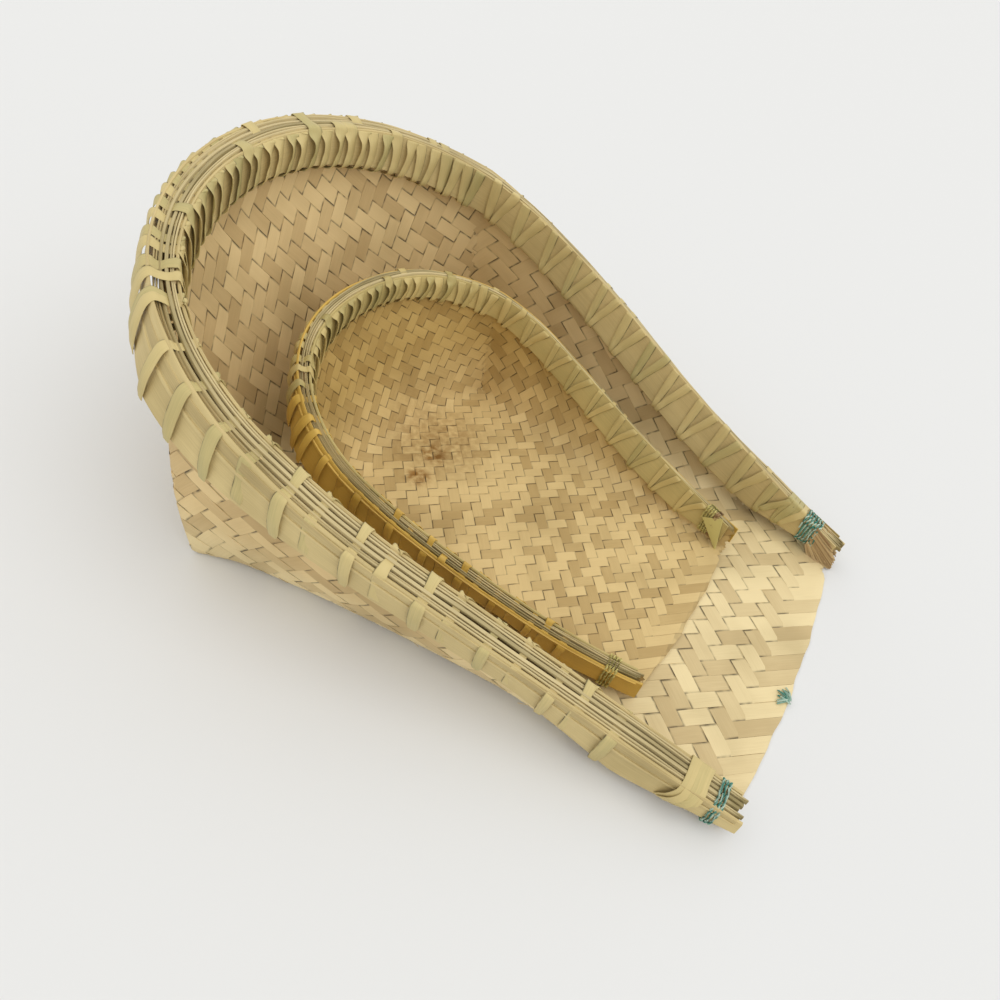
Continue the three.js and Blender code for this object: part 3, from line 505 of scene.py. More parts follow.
def bamboo_finish(name, light, dark, roughness=0.6, fibres=0.5, blotches=0.6, wall_tint=None, stains_and_shade=()):
    """A split-bamboo material whose fibres follow each strip."""
    material = bpy.data.materials.new(name)
    material.use_nodes = True
    tree = material.node_tree
    spot = add(tree, "ShaderNodeTexCoord").outputs["Object"]
    grain, tone, slit = (add(tree, "ShaderNodeAttribute", attribute_name=attribute)
                         for attribute in ("grain_place", "tone", "slit_shade"))
    values = {
        "Grain Place": grain.outputs["Vector"],
        "Tone": tone.outputs["Fac"],
        "Light": (*light, 1),
        "Dark": (*dark, 1),
        "Fibre Strength": fibres,
        "Blotch Strength": blotches,
        "Slit Shade": slit.outputs["Fac"],
    }
    # Brown stains on the small floor, and a wide patch of painted shade at its back
    if stains_and_shade:
        values["Stain And Shade"] = stain_and_shade_share(tree, spot, stains_and_shade)
    group = add(tree, "ShaderNodeGroup", values, node_tree=fibre_group)
    colour = group.outputs["Color"]
    if wall_tint:
        # Above the floor the mat takes the wall tint, fading in over the first few centimetres of the walls
        height = add(tree, "ShaderNodeSeparateXYZ", {0: spot}).outputs[2]
        colour = tinted(tree, ranged(tree, height, WALL_FOOT, WALL_TINT_TOP, kind="SMOOTHSTEP"), colour, wall_tint)
    colour = tinted(tree, ranged(tree, noise(tree, spot, 22.0), 0.45, 0.7), colour, WEATHER_TINT)
    height = group.outputs["Height"]
    bump = add(tree, "ShaderNodeBump", {"Strength": 0.25, "Distance": 0.0004, "Height": height})
    shader = tree.nodes["Principled BSDF"]
    tree.links.new(colour, shader.inputs["Base Color"])
    tree.links.new(bump.outputs[0], shader.inputs["Normal"])
    shader.inputs["Roughness"].default_value = roughness
    shader.inputs["Specular IOR Level"].default_value = 0.3
    return material


LARGE_WALL_TINT = (0.94, 0.86, 0.76)
SMALL_WALL_TINT = (0.74, 0.68, 0.5)
# Slot, material name, light and dark tone, roughness, fibres, blotches, tint of the walls, and stains with
# painted shade
FINISHES = (
    ("large_weave", "large_weave_straw", (0.82, 0.67, 0.37), (0.58, 0.44, 0.22), 0.65, 0.6, 0.5, LARGE_WALL_TINT),
    ("large_band", "large_band_straw", (0.66, 0.52, 0.24), (0.32, 0.23, 0.09), 0.55, 0.7),
    ("rim_splint", "rim_splint_straw", (0.64, 0.52, 0.27), (0.28, 0.22, 0.09), 0.55, 0.9),
    ("large_binding", "large_binding_strip", (0.63, 0.5, 0.22), (0.36, 0.33, 0.13), 0.5, 0.8, 0.8),
    ("small_weave", "small_weave_gold", (0.7, 0.52, 0.235), (0.48, 0.33, 0.13), 0.6, 0.6, 0.5, SMALL_WALL_TINT,
     SMALL_STAINS_AND_SHADE),
    ("small_outer_band", "small_outer_skin", (0.66, 0.43, 0.09), (0.4, 0.22, 0.03), 0.42, 0.6),
    ("small_binding", "small_binding_gold", (0.58, 0.45, 0.18), (0.32, 0.28, 0.1), 0.5, 0.8, 0.8),
    ("yellow_strip", "yellow_lashing", (0.62, 0.54, 0.2), (0.3, 0.24, 0.05), 0.5),
    ("brown_fibre", "frayed_brown", (0.6, 0.44, 0.22), (0.26, 0.15, 0.06), 0.7),
    ("green_twine", "green_twine", (0.5, 0.62, 0.5), (0.03, 0.2, 0.15), 0.8, 1.2, 1.0),
)
finishes = {slot: bamboo_finish(*look) for slot, *look in FINISHES}
print("finishes", len(finishes))

# %% [markdown]
# ## The mat as one smooth surface
# The real mat is woven flat and then folded up. So first comes one smooth middle surface of the mat: floor,
# side walls and back wall, with a soft bend where the floor turns up. Each point of it also keeps its place
# in the flat mat, counted in strips. A weave that is made flat can then be laid on it without stretching.

# %% Weave sizes
WEAVE = {
    "large": {"across": 11.7, "forward": 13.0, "shift": 13.5, "bend": 10.0, "thick": 0.42, "wave": 0.26,
              "edge_row_y": -159, "edge_shade": 0.0},
    "small": {"across": 9.0, "forward": 8.15, "shift": 11.1, "bend": 9.0, "thick": 0.34, "wave": 0.2,
              "edge_row_y": -101, "edge_shade": 0.7},
}
STRIP_COUNT = 104
CORNER_BEND = 1.0
WALL_TOP = 0.6
# Rows up a wall as shares of its height, closer together at the foot, and the row that shows its climb
WALL_SHARES = np.concatenate([np.linspace(0, 0.3, 16)[:-1], np.linspace(0.3, 1, 26)])
CLIMB_ROW = 18
WALL_OVERLAP = 3
FLOOR_COLUMNS = 61
# The front edge: how far back its bulge and ripple reach, and how it turns down
BULGE_REACH = 45
RIPPLE_REACH = 12
EDGE_RIPPLE = 0.5
EDGE_TURN = 0.4
EDGE_DROP = 0.55
EDGE_LIFT = (0, -0.4, 0.6)
FLAP_LENGTH = 12

# %% Mat surface


def strip_counts(basket, flat):
    """The two strip counts of points in the flat mat, scaled to the unit square."""
    w = WEAVE[basket.name]
    x, y = flat[..., 0] / w["across"], (flat[..., 1] + w["shift"]) / w["forward"]
    return np.stack([(x + y) / STRIP_COUNT + 0.5, (x - y) / STRIP_COUNT + 0.5], -1)


def grid_normals(points):
    return unit(np.cross(np.gradient(points, axis=0), np.gradient(points, axis=1)))


def keep_on_points(mesh, name, values):
    """Stores an array on a mesh's points, as vectors or as numbers."""
    kind, field = ("FLOAT_VECTOR", "vector") if values.ndim == 2 else ("FLOAT", "value")
    mesh.attributes.new(name, kind, "POINT").data.foreach_set(field, values.ravel())


class Mat:
    """The mat's middle surface in patches: places, flat places and lift directions."""

    def __init__(self, basket):
        self.basket = b = basket
        s = b.size
        self.half = s["panel"] / 2
        self.middle_out = b.panel_outside - self.half
        centre = len(b.travel) // 2
        starts = np.interp(s["front_y"], b.foot[:centre, 1], b.travel[:centre])
        inner = b.travel[(b.travel > starts + 1) & (b.travel < b.length - starts - 1)]
        self.travel = np.concatenate([[starts], inner, [b.length - starts]])
        self.corners = [int(np.argmin(abs(self.travel - b.travel[k]))) for k in b.corner_index]
        self.patches = []
        self.lay_crease()
        for wall, before, after in zip(self.walls, (0, 0, WALL_OVERLAP), (WALL_OVERLAP, 0, 0)):
            self.add_wall(*wall, before, after)
        self.add_floor()

    def lay_crease(self):
        """The line where the floor turns up: its places, directions and softness."""
        b, t = self.basket, self.travel
        self.wall = b.at(t, b.wall)
        self.crease = crease = b.point(t, self.middle_out, self.wall)
        crease[:, 0] -= b.at(t, b.flare)
        crease[:, 2] = self.half
        self.walls, self.runs = [], np.zeros((len(t), 3))
        stops = [0, *self.corners, len(t) - 1]
        for low, high in zip(stops, stops[1:]):
            run = unit(np.gradient(crease[low:high + 1], axis=0))
            self.runs[low:high + 1] = run
            self.walls.append((low, high, run))
        for corner in self.corners:
            self.runs[corner] = unit(self.runs[corner - 1] + self.runs[corner + 1])
        self.outward = np.cross(self.runs, np.array([0, 0, 1.0]))
        self.outward *= -np.sign(np.sum(self.outward * (np.array([0, 20, 0]) - crease), axis=1))[:, None]
        along = path_lengths(crease)
        gap = np.min([abs(along - along[c]) for c in self.corners], axis=0)
        full = WEAVE[b.name]["bend"]
        share = smoothstep(gap, 0, 3 * full)
        self.bend = CORNER_BEND + (np.minimum(full, self.wall * 0.4) - CORNER_BEND) * share

    def wall_points(self, columns):
        """Wall places from the foot up, before the bend, and their distances from the crease."""
        b, t, wall = self.basket, self.travel[columns], self.wall[columns]
        down = wall[:, None] - WALL_SHARES * (wall - WALL_TOP)[:, None]
        band_foot = b.band_at(t) + SLOT_REACH
        below = np.clip((down - band_foot[:, None]) / (wall - band_foot)[:, None], 0, 1)
        belly = b.size["belly"] * np.sin(math.pi * below) * np.minimum(1, wall / FULL_BELLY_LENGTH)[:, None]
        places = b.point(t[:, None], self.middle_out + belly, down)
        places[..., 0] -= b.at(t, b.flare)[:, None] * below ** 2
        places += (self.crease[columns] - places[:, 0])[:, None, :] * (1 - WALL_SHARES[:, None]) ** 6
        steps = np.linalg.norm(np.diff(places, axis=1), axis=2)
        return places, np.concatenate([np.zeros((len(t), 1)), np.cumsum(steps, axis=1)], 1)

    def add_wall(self, low, high, run, before, after):
        """One wall, with columns past a corner where the next wall has to be overlapped."""
        main = np.arange(low, high + 1)
        places, rises = self.wall_points(main)
        out = square_to(self.outward[main], run)
        climb = unit(places[:, CLIMB_ROW] - places[:, 0])
        slide = np.sum(climb * run, axis=1)[:, None]
        way = slide * run + np.sqrt(1 - slide ** 2) * out
        flat = self.crease[main][:, None, :] + way[:, None, :] * rises[..., None]
        for extra, end, sign in ((before, 0, -1), (after, -1, 1)):
            for k in range(1, extra + 1):
                more, _ = self.wall_points(np.array([main[end] + sign * k]))
                step = np.linalg.norm(more - places[end], axis=2)[..., None]
                more_flat = flat[end] + sign * step * run[end]
                places = np.concatenate([places, more][::sign])
                flat = np.concatenate([flat, more_flat][::sign])
        columns = np.arange(low - before, high + after + 1)
        bend = self.bend[columns][:, None]
        height = np.linalg.norm(places - self.crease[columns][:, None, :], axis=2)
        share = np.clip(1 - height / bend, 0, 1) / 2
        climb = unit(places[:, CLIMB_ROW] - places[:, 0])
        places = places + (bend * share ** 2)[..., None] * (climb - self.outward[columns])[:, None, :]
        normals = grid_normals(places)
        inward = -self.basket.at(self.travel[columns], self.basket.out)[:, None, :]
        normals *= np.sign(np.sum(normals * inward, axis=-1, keepdims=True))
        self.patches.append((places, flat, normals))

    def add_floor(self):
        """The floor between the two sides of the crease, with a bulged and rippled front edge."""
        s, crease, bend = self.basket.size, self.crease, self.bend
        half = len(self.travel) // 2
        left, right = crease[:half], crease[::-1][:half]
        across = (1 - np.cos(np.linspace(0, math.pi, FLOOR_COLUMNS))) / 2
        flat = left[:, None, :] * (1 - across)[:, None] + right[:, None, :] * across[:, None]
        arch = 1 - (2 * across - 1) ** 2
        behind = (left[:, 1] - s["front_y"])[:, None]
        x = flat[..., 0]
        ripple = EDGE_RIPPLE * (np.sin(x / 7.3 + 1) + 0.6 * np.sin(x / 3.1 + 2) + 0.4 * np.sin(x / 17))
        flat[..., 1] -= s["front_bulge"] * np.clip(1 - behind / BULGE_REACH, 0, 1) * arch
        flat[..., 1] += ripple * arch * np.clip(1 - behind / RIPPLE_REACH, 0, 1)
        climb = unit(self.wall_points(np.arange(len(crease)))[0][:, CLIMB_ROW] - crease)
        points = flat.reshape(-1, 3)
        nearest = np.array([np.argmin(np.sum((crease - p) ** 2, axis=1)) for p in points])
        inside = -np.sum((points - crease[nearest]) * self.outward[nearest], axis=1)
        share = np.clip(1 - inside / bend[nearest], 0, 1) / 2
        move = (bend[nearest] * share ** 2)[:, None] * (climb[nearest] - self.outward[nearest])
        places = (points + move).reshape(flat.shape)
        normals = grid_normals(places)
        normals *= np.sign(normals[..., 2:3])
        normals[0] = (0, 0, 1)
        # Flat places past the edge all gather on its line, so every strip ends there and the edge is clean
        lips = []
        for reach in (FLAP_LENGTH, EDGE_TURN):
            place = places[0] * (1, 1, EDGE_DROP) - (0, EDGE_TURN, 0)
            lips.append((place, flat[0] - (0, reach, 0), np.tile(EDGE_LIFT, (len(place), 1))))
        self.patches.append(tuple(
            np.concatenate([np.array(lip), rows]) for lip, rows in zip(zip(*lips), (places, flat, normals))))

    def to_object(self):
        """A mesh of all patches with the strip counts and lift directions as attributes."""
        b = self.basket
        co, counts, lift, faces, start = [], [], [], [], 0
        for places, flat, normals in self.patches:
            n, m = places.shape[:2]
            co.append(b.to_frame(places).reshape(-1, 3))
            lift.append((b.to_frame(places + normals) - b.to_frame(places)).reshape(-1, 3))
            counts.append(strip_counts(b, flat).reshape(-1, 2))
            index = start + np.arange(n * m).reshape(n, m)
            quads = np.stack([index[:-1, :-1], index[1:, :-1], index[1:, 1:], index[:-1, 1:]], -1)
            faces.append(quads.reshape(-1, 4))
            start += n * m
        co, counts, lift, faces = map(np.concatenate, (co, counts, lift, faces))
        mesh = bpy.data.meshes.new(f"{b.name}_mat_surface")
        mesh.from_pydata(co.tolist(), [], faces.tolist())
        keep_on_points(mesh, "mat_place", np.pad(counts, ((0, 0), (0, 1))))
        keep_on_points(mesh, "lift", lift)
        return bpy.data.objects.new(f"{b.name}_mat_surface", mesh)


mats = {basket.name: Mat(basket) for basket in (large, small)}
for name, mat in mats.items():
    print(name, "patches", [patch[0].shape[:2] for patch in mat.patches])

# %% [markdown]
# ## Weaving
# The weave is a two-over-two twill: each strip passes over two and under two, and each next strip starts one
# later, which draws the slanting rows of Vs. A modifier that repeats one cell would break at the bends. This
# tree makes whole strips, flat and straight, waves them over and under by the twill rule, and then lays every
# point on the mat surface by its strip counts.

# %% Geometry helpers


def named(tree, name, kind="FLOAT_VECTOR"):
    return add(tree, "GeometryNodeInputNamedAttribute", {"Name": name}, data_type=kind).outputs[0]


def store(tree, geometry, name, value, kind="FLOAT_VECTOR"):
    values = {"Geometry": geometry, "Name": name, "Value": value}
    node = add(tree, "GeometryNodeStoreNamedAttribute", values, data_type=kind, domain="POINT")
    return node.outputs[0]


def combined(tree, x=0.0, y=0.0, z=0.0):
    return add(tree, "ShaderNodeCombineXYZ", {0: x, 1: y, 2: z}).outputs[0]


def random_number(tree, seed, low=0.0, high=1.0):
    values = {2: low, 3: high, "Seed": seed}
    return add(tree, "FunctionNodeRandomValue", values, data_type="FLOAT").outputs[1]


def end_tree(tree, geometry, material, result):
    """The end of both trees: real geometry, its material and smooth shading."""
    real = add(tree, "GeometryNodeRealizeInstances", {"Geometry": geometry})
    paint = add(tree, "GeometryNodeSetMaterial", {"Geometry": real.outputs[0], "Material": material})
    smooth = add(tree, "GeometryNodeSetShadeSmooth", {"Geometry": paint.outputs[0], "Shade Smooth": True})
    tree.links.new(smooth.outputs[0], result["Strips"])


# %% Twill tree
STEPS = 3
STEEPNESS = 1.9


def build_twill_tree(name, leaning_left):
    """One family of strips: made flat, waved by the twill rule and laid on the mat surface."""
    tree, value, result = new_group(
        name, "GeometryNodeTree",
        [
            ("Mat Surface", "Geometry", None),
            ("Strip Count", "Int", 96),
            ("Strip Width", "Float", 1.0),
            ("Strip Thickness", "Float", 0.4),
            ("Wave Height", "Float", 0.24),
            ("Dome", "Float", 0.03),
            ("Crossing Length", "Float", 8.7),
            ("Edge Row", "Float", -23.0),
            ("Edge Line", "Float", -26.5),
            ("Edge Shade", "Float", 0.0),
            ("Seed", "Int", 1),
            ("Material", "Material", None),
        ],
        [("Strips", "Geometry")],
    )
    sums = partial(calc, tree)
    count, seed, edge_line = value["Strip Count"], value["Seed"], value["Edge Line"]
    start = combined(tree, 0.5, sums("MULTIPLY", count, 0.5))
    line = add(tree, "GeometryNodeMeshLine", {"Count": count, "Start Location": start, "Offset": (1, 0, 0)},
               mode="OFFSET")
    index = add(tree, "GeometryNodeInputIndex").outputs[0]
    points = store(tree, line.outputs["Mesh"], "strand", index, "FLOAT")
    points = store(tree, points, "tone", random_number(tree, seed), "FLOAT")
    rows = sums("ADD", sums("MULTIPLY", count, float(STEPS)), 1.0)
    size = combined(tree, value["Strip Width"], count, value["Strip Thickness"])
    strip = add(tree, "GeometryNodeMeshCube", {
        "Size": size, "Vertices X": 3, "Vertices Y": rows, "Vertices Z": 2})
    width = random_number(tree, sums("ADD", seed, 7.0), 0.96, 1.02)
    laid = add(tree, "GeometryNodeInstanceOnPoints", {
        "Points": points, "Instance": strip.outputs["Mesh"], "Scale": combined(tree, width, 1.0, 1.0)})
    strips = add(tree, "GeometryNodeRealizeInstances", {"Geometry": laid.outputs[0]}).outputs[0]

    position = add(tree, "GeometryNodeInputPosition").outputs[0]
    across, along, height = add(tree, "ShaderNodeSeparateXYZ", {0: position}).outputs
    strand = named(tree, "strand", "FLOAT")
    # The twill rule: which crossing of the other family this point is at, less the strip's own number
    if leaning_left:
        side = 1.0
        step = sums("SUBTRACT", along, strand)
    else:
        side = -1.0
        step = sums("SUBTRACT", sums("ADD", strand, 1.0), along)
    steep = sums("MULTIPLY", sums("COSINE", sums("MULTIPLY", step, math.pi / 2)), STEEPNESS)
    flat_top = sums("MAXIMUM", sums("MINIMUM", steep, 1.0), -1.0)
    # Past the edge row one family stays on top, so the front edge shows long floats side by side
    crossing = sums("FLOOR", sums("ADD", along, 0.01))
    row = sums("MULTIPLY", sums("SUBTRACT", strand, crossing), side)
    near_edge = sums("LESS_THAN", row, value["Edge Row"])
    woven = sums("MULTIPLY", sums("MULTIPLY", flat_top, side), sums("SUBTRACT", 1.0, near_edge))
    level = sums("ADD", woven, sums("MULTIPLY", near_edge, side))
    off_centre = sums("SUBTRACT", sums("SUBTRACT", across, strand), 0.5)
    edge_share = sums("POWER", sums("MULTIPLY", off_centre, 2.0), 2.0)
    dome = sums("MULTIPLY", sums("SUBTRACT", 1.0, edge_share), value["Dome"])
    lifted = sums("ADD", sums("ADD", sums("MULTIPLY", level, value["Wave Height"]), height), dome)
    # Painted shade: one where the strip passes from over to under, and zero where it lies flat
    dive_shade = sums("SUBTRACT", 1.0, sums("ABSOLUTE", level))
    forward = sums("MULTIPLY", sums("SUBTRACT", across, along), side)
    # A painted shadow line along the mat's front edge, as dark as Edge Shade
    edge_shadow_line = ranged(tree, forward, edge_line, sums("ADD", edge_line, 0.35), value["Edge Shade"], 0.0)
    strips = store(tree, strips, "slit_shade", sums("MAXIMUM", dive_shade, edge_shadow_line), "FLOAT")
    length = value["Crossing Length"]
    grain = combined(tree, sums("MULTIPLY", along, length), sums("MULTIPLY", off_centre, length), strand)
    strips = store(tree, strips, "grain_place", grain)

    counts = [sums("DIVIDE", part, count) for part in (across, along)]
    counts = combined(tree, *(counts if leaning_left else counts[::-1]))
    place, lift = (add(tree, "GeometryNodeSampleUVSurface", {
        "Mesh": value["Mat Surface"], "Value": field, "UV Map": named(tree, "mat_place"), "Sample UV": counts,
    }, data_type="FLOAT_VECTOR").outputs for field in (position, named(tree, "lift")))
    target = vector_calc(tree, "ADD", place["Value"], vector_calc(tree, "SCALE", lift["Value"], lifted))
    missing = add(tree, "FunctionNodeBooleanMath", {0: place["Is Valid"]}, operation="NOT").outputs[0]
    strips = store(tree, strips, "off_mat", missing, "BOOLEAN")
    moved = add(tree, "GeometryNodeSetPosition", {"Geometry": strips, "Position": target}).outputs[0]
    off_mat = named(tree, "off_mat", "BOOLEAN")
    cut = add(tree, "GeometryNodeDeleteGeometry", {"Geometry": moved, "Selection": off_mat}, domain="POINT")
    end_tree(tree, cut.outputs[0], value["Material"], result)
    return tree


def bake(source, tree, values, name):
    """Runs a tree on an object and returns the result as a plain mesh object with outward faces."""
    modifier = source.modifiers.new(tree.name, "NODES")
    modifier.node_group = tree
    for item in tree.interface.items_tree:
        if item.in_out == "INPUT" and item.name in values:
            modifier[item.identifier] = values[item.name]
    scene.collection.objects.link(source)
    evaluated = source.evaluated_get(bpy.context.evaluated_depsgraph_get())
    mesh = bpy.data.meshes.new_from_object(evaluated)
    source.modifiers.remove(modifier)
    scene.collection.objects.unlink(source)
    mesh.name = name
    work = bmesh.new()
    work.from_mesh(mesh)
    bmesh.ops.dissolve_degenerate(work, edges=work.edges, dist=0.00001)
    bmesh.ops.recalc_face_normals(work, faces=work.faces)
    work.to_mesh(mesh)
    work.free()
    mesh.set_sharp_from_angle(angle=math.radians(40))
    piece = bpy.data.objects.new(name, mesh)
    scene.collection.objects.link(piece)
    return piece


def register(piece, body, slot, *nodes):
    """Makes a piece ride on its body and hides the CAD nodes that it stands for; the slot is not used."""
    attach(piece, body)
    if nodes:
        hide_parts(*nodes)


# %% Weave both mats
for basket in (large, small):
    w = WEAVE[basket.name]
    surface = mats[basket.name].to_object()
    for lean, seed in (("left", 11), ("right", 29)):
        tree = build_twill_tree(f"{basket.name}_twill_{lean}", lean == "left")
        strips = bake(surface, tree, {
            "Strip Count": STRIP_COUNT,
            "Strip Thickness": w["thick"],
            "Wave Height": w["wave"],
            "Crossing Length": math.hypot(w["across"], w["forward"]) / 2,
            "Edge Row": (w["edge_row_y"] + w["shift"]) * 2 / w["forward"],
            "Edge Line": (basket.size["front_y"] + w["shift"]) * 2 / w["forward"],
            "Edge Shade": w["edge_shade"],
            "Seed": seed,
            "Material": finishes[f"{basket.name}_weave"],
        }, f"{basket.name}_{lean}_strips")
        register(strips, basket.size["body"], f"{basket.name}_weave", f"{basket.name}_woven_panel")
        print(strips.name, len(strips.data.polygons) * 2, "triangles")

# %% [markdown]
# ## Everything that is wound or laid along the rim
# Bands, splints, lashing strips, twines and fibres are all one thing: a narrow section drawn along a path.
# A curve with a bevel has one round or fixed section, so it can't be wide on a face and narrow in a hole.
# This tree takes paths whose points carry two directions, the half width and the half thickness, and draws a
# rounded flat section between them.

# %% Drawn strip tree


def build_strip_tree():
    tree, value, result = new_group(
        "drawn_strip", "GeometryNodeTree",
        [
            ("Paths", "Geometry", None),
            ("Section Points", "Int", 8),
            ("Squareness", "Float", 0.35),
            ("Edge Shade", "Float", 0.0),
            ("Material", "Material", None),
        ],
        [("Strips", "Geometry")],
    )
    sums = partial(calc, tree)
    position = add(tree, "GeometryNodeInputPosition").outputs[0]
    curve = add(tree, "GeometryNodeMeshToCurve", {0: store(tree, value["Paths"], "centre", position)})
    ring = add(tree, "GeometryNodeCurvePrimitiveCircle", {
        "Resolution": value["Section Points"], "Radius": 1.0}, mode="RADIUS")
    section = store(tree, ring.outputs[0], "section", position)
    drawn = add(tree, "GeometryNodeCurveToMesh", {
        "Curve": curve.outputs[0], "Profile Curve": section, "Fill Caps": True})
    x, y = add(tree, "ShaderNodeSeparateXYZ", {0: named(tree, "section")}).outputs[:2]
    place = named(tree, "centre")
    for part, name in ((x, "half_width"), (y, "half_thickness")):
        size = sums("POWER", sums("ABSOLUTE", part), value["Squareness"])
        reach = sums("MULTIPLY", size, sums("SIGN", part))
        place = vector_calc(tree, "ADD", place, vector_calc(tree, "SCALE", named(tree, name), reach))
    moved = add(tree, "GeometryNodeSetPosition", {"Geometry": drawn.outputs[0], "Position": place})
    sideways = combined(tree, 0.0, sums("MULTIPLY", x, named(tree, "grain_width", "FLOAT")))
    grain = vector_calc(tree, "ADD", named(tree, "grain_start"), sideways)
    strips = store(tree, moved.outputs[0], "grain_place", grain)
    # Painted shade under a strip's two edges, stronger on the edge along the rim where a proud strip casts
    # its shadow
    one_sided = sums("ADD", 0.7, sums("MULTIPLY", x, 0.3))
    shade = sums("MULTIPLY", sums("MULTIPLY", sums("ABSOLUTE", x), one_sided), value["Edge Shade"])
    strips = store(tree, strips, "slit_shade", shade, "FLOAT")
    end_tree(tree, strips, value["Material"], result)
    return tree


strip_tree = build_strip_tree()
print("tree", strip_tree.name, len(strip_tree.nodes), "nodes")

# %% [markdown]
# ## Drawing a piece
# A strip is four things: its middle line, its half width and half thickness as directions, and its tone. They
# are given in the basket's own millimetres. All strips of a piece become one mesh of paths, and the tree
# draws them together. The grain of each strip starts at another place, so no two look alike.

# %% Draw strips
GRAIN_STEP = (91, 0, 3.7)


def draw_strips(name, basket, strips, finish, points=8, square=0.35, slot=None, edge_shade=0.0,
                stands_in=True):
    """Makes one piece of many strips and registers it, in the place of the CAD node with its name."""
    places, edges, start = [], [], 0
    fields = {key: [] for key in ("half_width", "half_thickness", "grain_start", "tone", "grain_width")}
    for number, (centre, half_width, half_thickness, tone) in enumerate(strips):
        n = len(centre)
        place = basket.to_frame(centre)
        grain = np.pad(path_lengths(centre)[:, None], ((0, 0), (0, 2))) + number * np.array(GRAIN_STEP)
        places.append(place)
        fields["half_width"].append(basket.to_frame(centre + half_width) - place)
        fields["half_thickness"].append(basket.to_frame(centre + half_thickness) - place)
        fields["grain_start"].append(grain)
        fields["tone"].append(np.ones(n) * tone)
        fields["grain_width"].append(np.linalg.norm(half_width, axis=1))
        index = start + np.arange(n)
        edges.append(np.stack([index[:-1], index[1:]], 1))
        start += n
    mesh = bpy.data.meshes.new(f"{name}_paths")
    mesh.from_pydata(np.concatenate(places).tolist(), np.concatenate(edges).tolist(), [])
    for key, rows in fields.items():
        keep_on_points(mesh, key, np.concatenate(rows))
    values = {"Section Points": points, "Squareness": square, "Edge Shade": edge_shade}
    values["Material"] = finishes[finish]
    piece = bake(bpy.data.objects.new(f"{name}_paths", mesh), strip_tree, values, name)
    register(piece, basket.size["body"], slot or finish, *([name] if stands_in else []))
    print(name, len(strips), "strips", sum(len(f.vertices) - 2 for f in piece.data.polygons), "triangles")


# %% [markdown]
# ## Bands and splints
# The rim's two bands are wide split bamboo on edge, one inside the mat and one outside. Between them lie thin
# splints, side by side. A straight extrusion would look like moulded plastic. Real splints waver, stand a
# little higher or lower, and stop at different lengths, so each has its own slow waves.

# %% Bands
BAND_POINTS = 260
RAIL_THICKNESS = 0.8
# Narrow strips laid on the outer band: top and foot as shares of its height, and tone
RAILS = {"large": ((0.1, 0.3, 0.62), (0.36, 0.42, 0.1)), "small": ((0.08, 0.16, 0.4),)}


def slow_wave(travel, length, seed):
    """A smooth random wave with values about -1 to 1."""
    phases = np.random.default_rng(seed).uniform(0, 6.28, 3)
    return (np.sin(travel / length + phases[0]) + 0.6 * np.sin(travel / length * 2.3 + phases[1])
            + 0.4 * np.sin(travel / length * 4.1 + phases[2])) / 1.6


def edge_strip(basket, travel, top, top_out, foot, foot_out, thickness, tone):
    """A strip on edge between two lines of the rim's section, its top and its foot."""
    middle, middle_out = (top + foot) / 2, (top_out + foot_out) / 2
    centre = basket.point(travel, middle_out, middle)
    half_width = (basket.point(travel, foot_out, foot) - basket.point(travel, top_out, top)) / 2
    half_thickness = (basket.point(travel, middle_out + thickness, middle) - centre) / 2
    return centre, half_width, half_thickness, tone


def band_strip(basket, inside, top, bottom_share, trim, tone, seed, loose=0.0):
    """A wide band on edge, whose inner face lies `inside` from the rim's inner face."""
    thickness = basket.size["band"]
    travel = np.linspace(trim, basket.length - trim, BAND_POINTS)
    off = loose * basket.stand_off(travel)
    rise = top + 0.3 * slow_wave(travel, 23, seed) - SHOULDER_LIFT * off
    foot = basket.band_at(travel) * bottom_share
    across = inside + thickness / 2 + 0.12 * slow_wave(travel, 17, seed + 1)
    return edge_strip(basket, travel, rise, across, foot, across + off, thickness, tone)


def rail_strip(basket, top_share, bottom_share, tone):
    """A narrow strip that lies on the outer band, under the lashing."""
    travel = np.linspace(4, basket.length - 6, BAND_POINTS)
    height = basket.band_at(travel) * basket.size["outer_share"]
    wave = 0.5 * slow_wave(travel, 33, 70)
    off = basket.stand_off(travel)
    lines = [(height * share + wave, basket.width + 0.3 + off * share) for share in (top_share, bottom_share)]
    tone = tone + 0.2 * slow_wave(travel, 50, 71)
    return edge_strip(basket, travel, *lines[0], *lines[1], RAIL_THICKNESS, tone)


for basket in (large, small):
    inner = [band_strip(basket, 0, 0, 1, 5, 0.4, 3)]
    finish = "large_band" if basket is large else "small_binding"
    draw_strips(f"{basket.name}_inner_band", basket, inner, finish, 12, 0.25)
    drop = basket.crown(np.linspace(1, basket.length - 1, BAND_POINTS), basket.outer_inside)
    outer = [band_strip(basket, basket.outer_inside, drop, basket.size["outer_share"], 1, 0.3, 9, 1.0)]
    outer += [rail_strip(basket, *rail) for rail in RAILS[basket.name]]
    finish = "large_band" if basket is large else "small_outer_band"
    draw_strips(f"{basket.name}_outer_band", basket, outer, finish, 12, 0.3)

# %% Splints
SPLINT_HEIGHT = 2.6
SPLINT_SEEDS = {"large": 0, "small": 400}


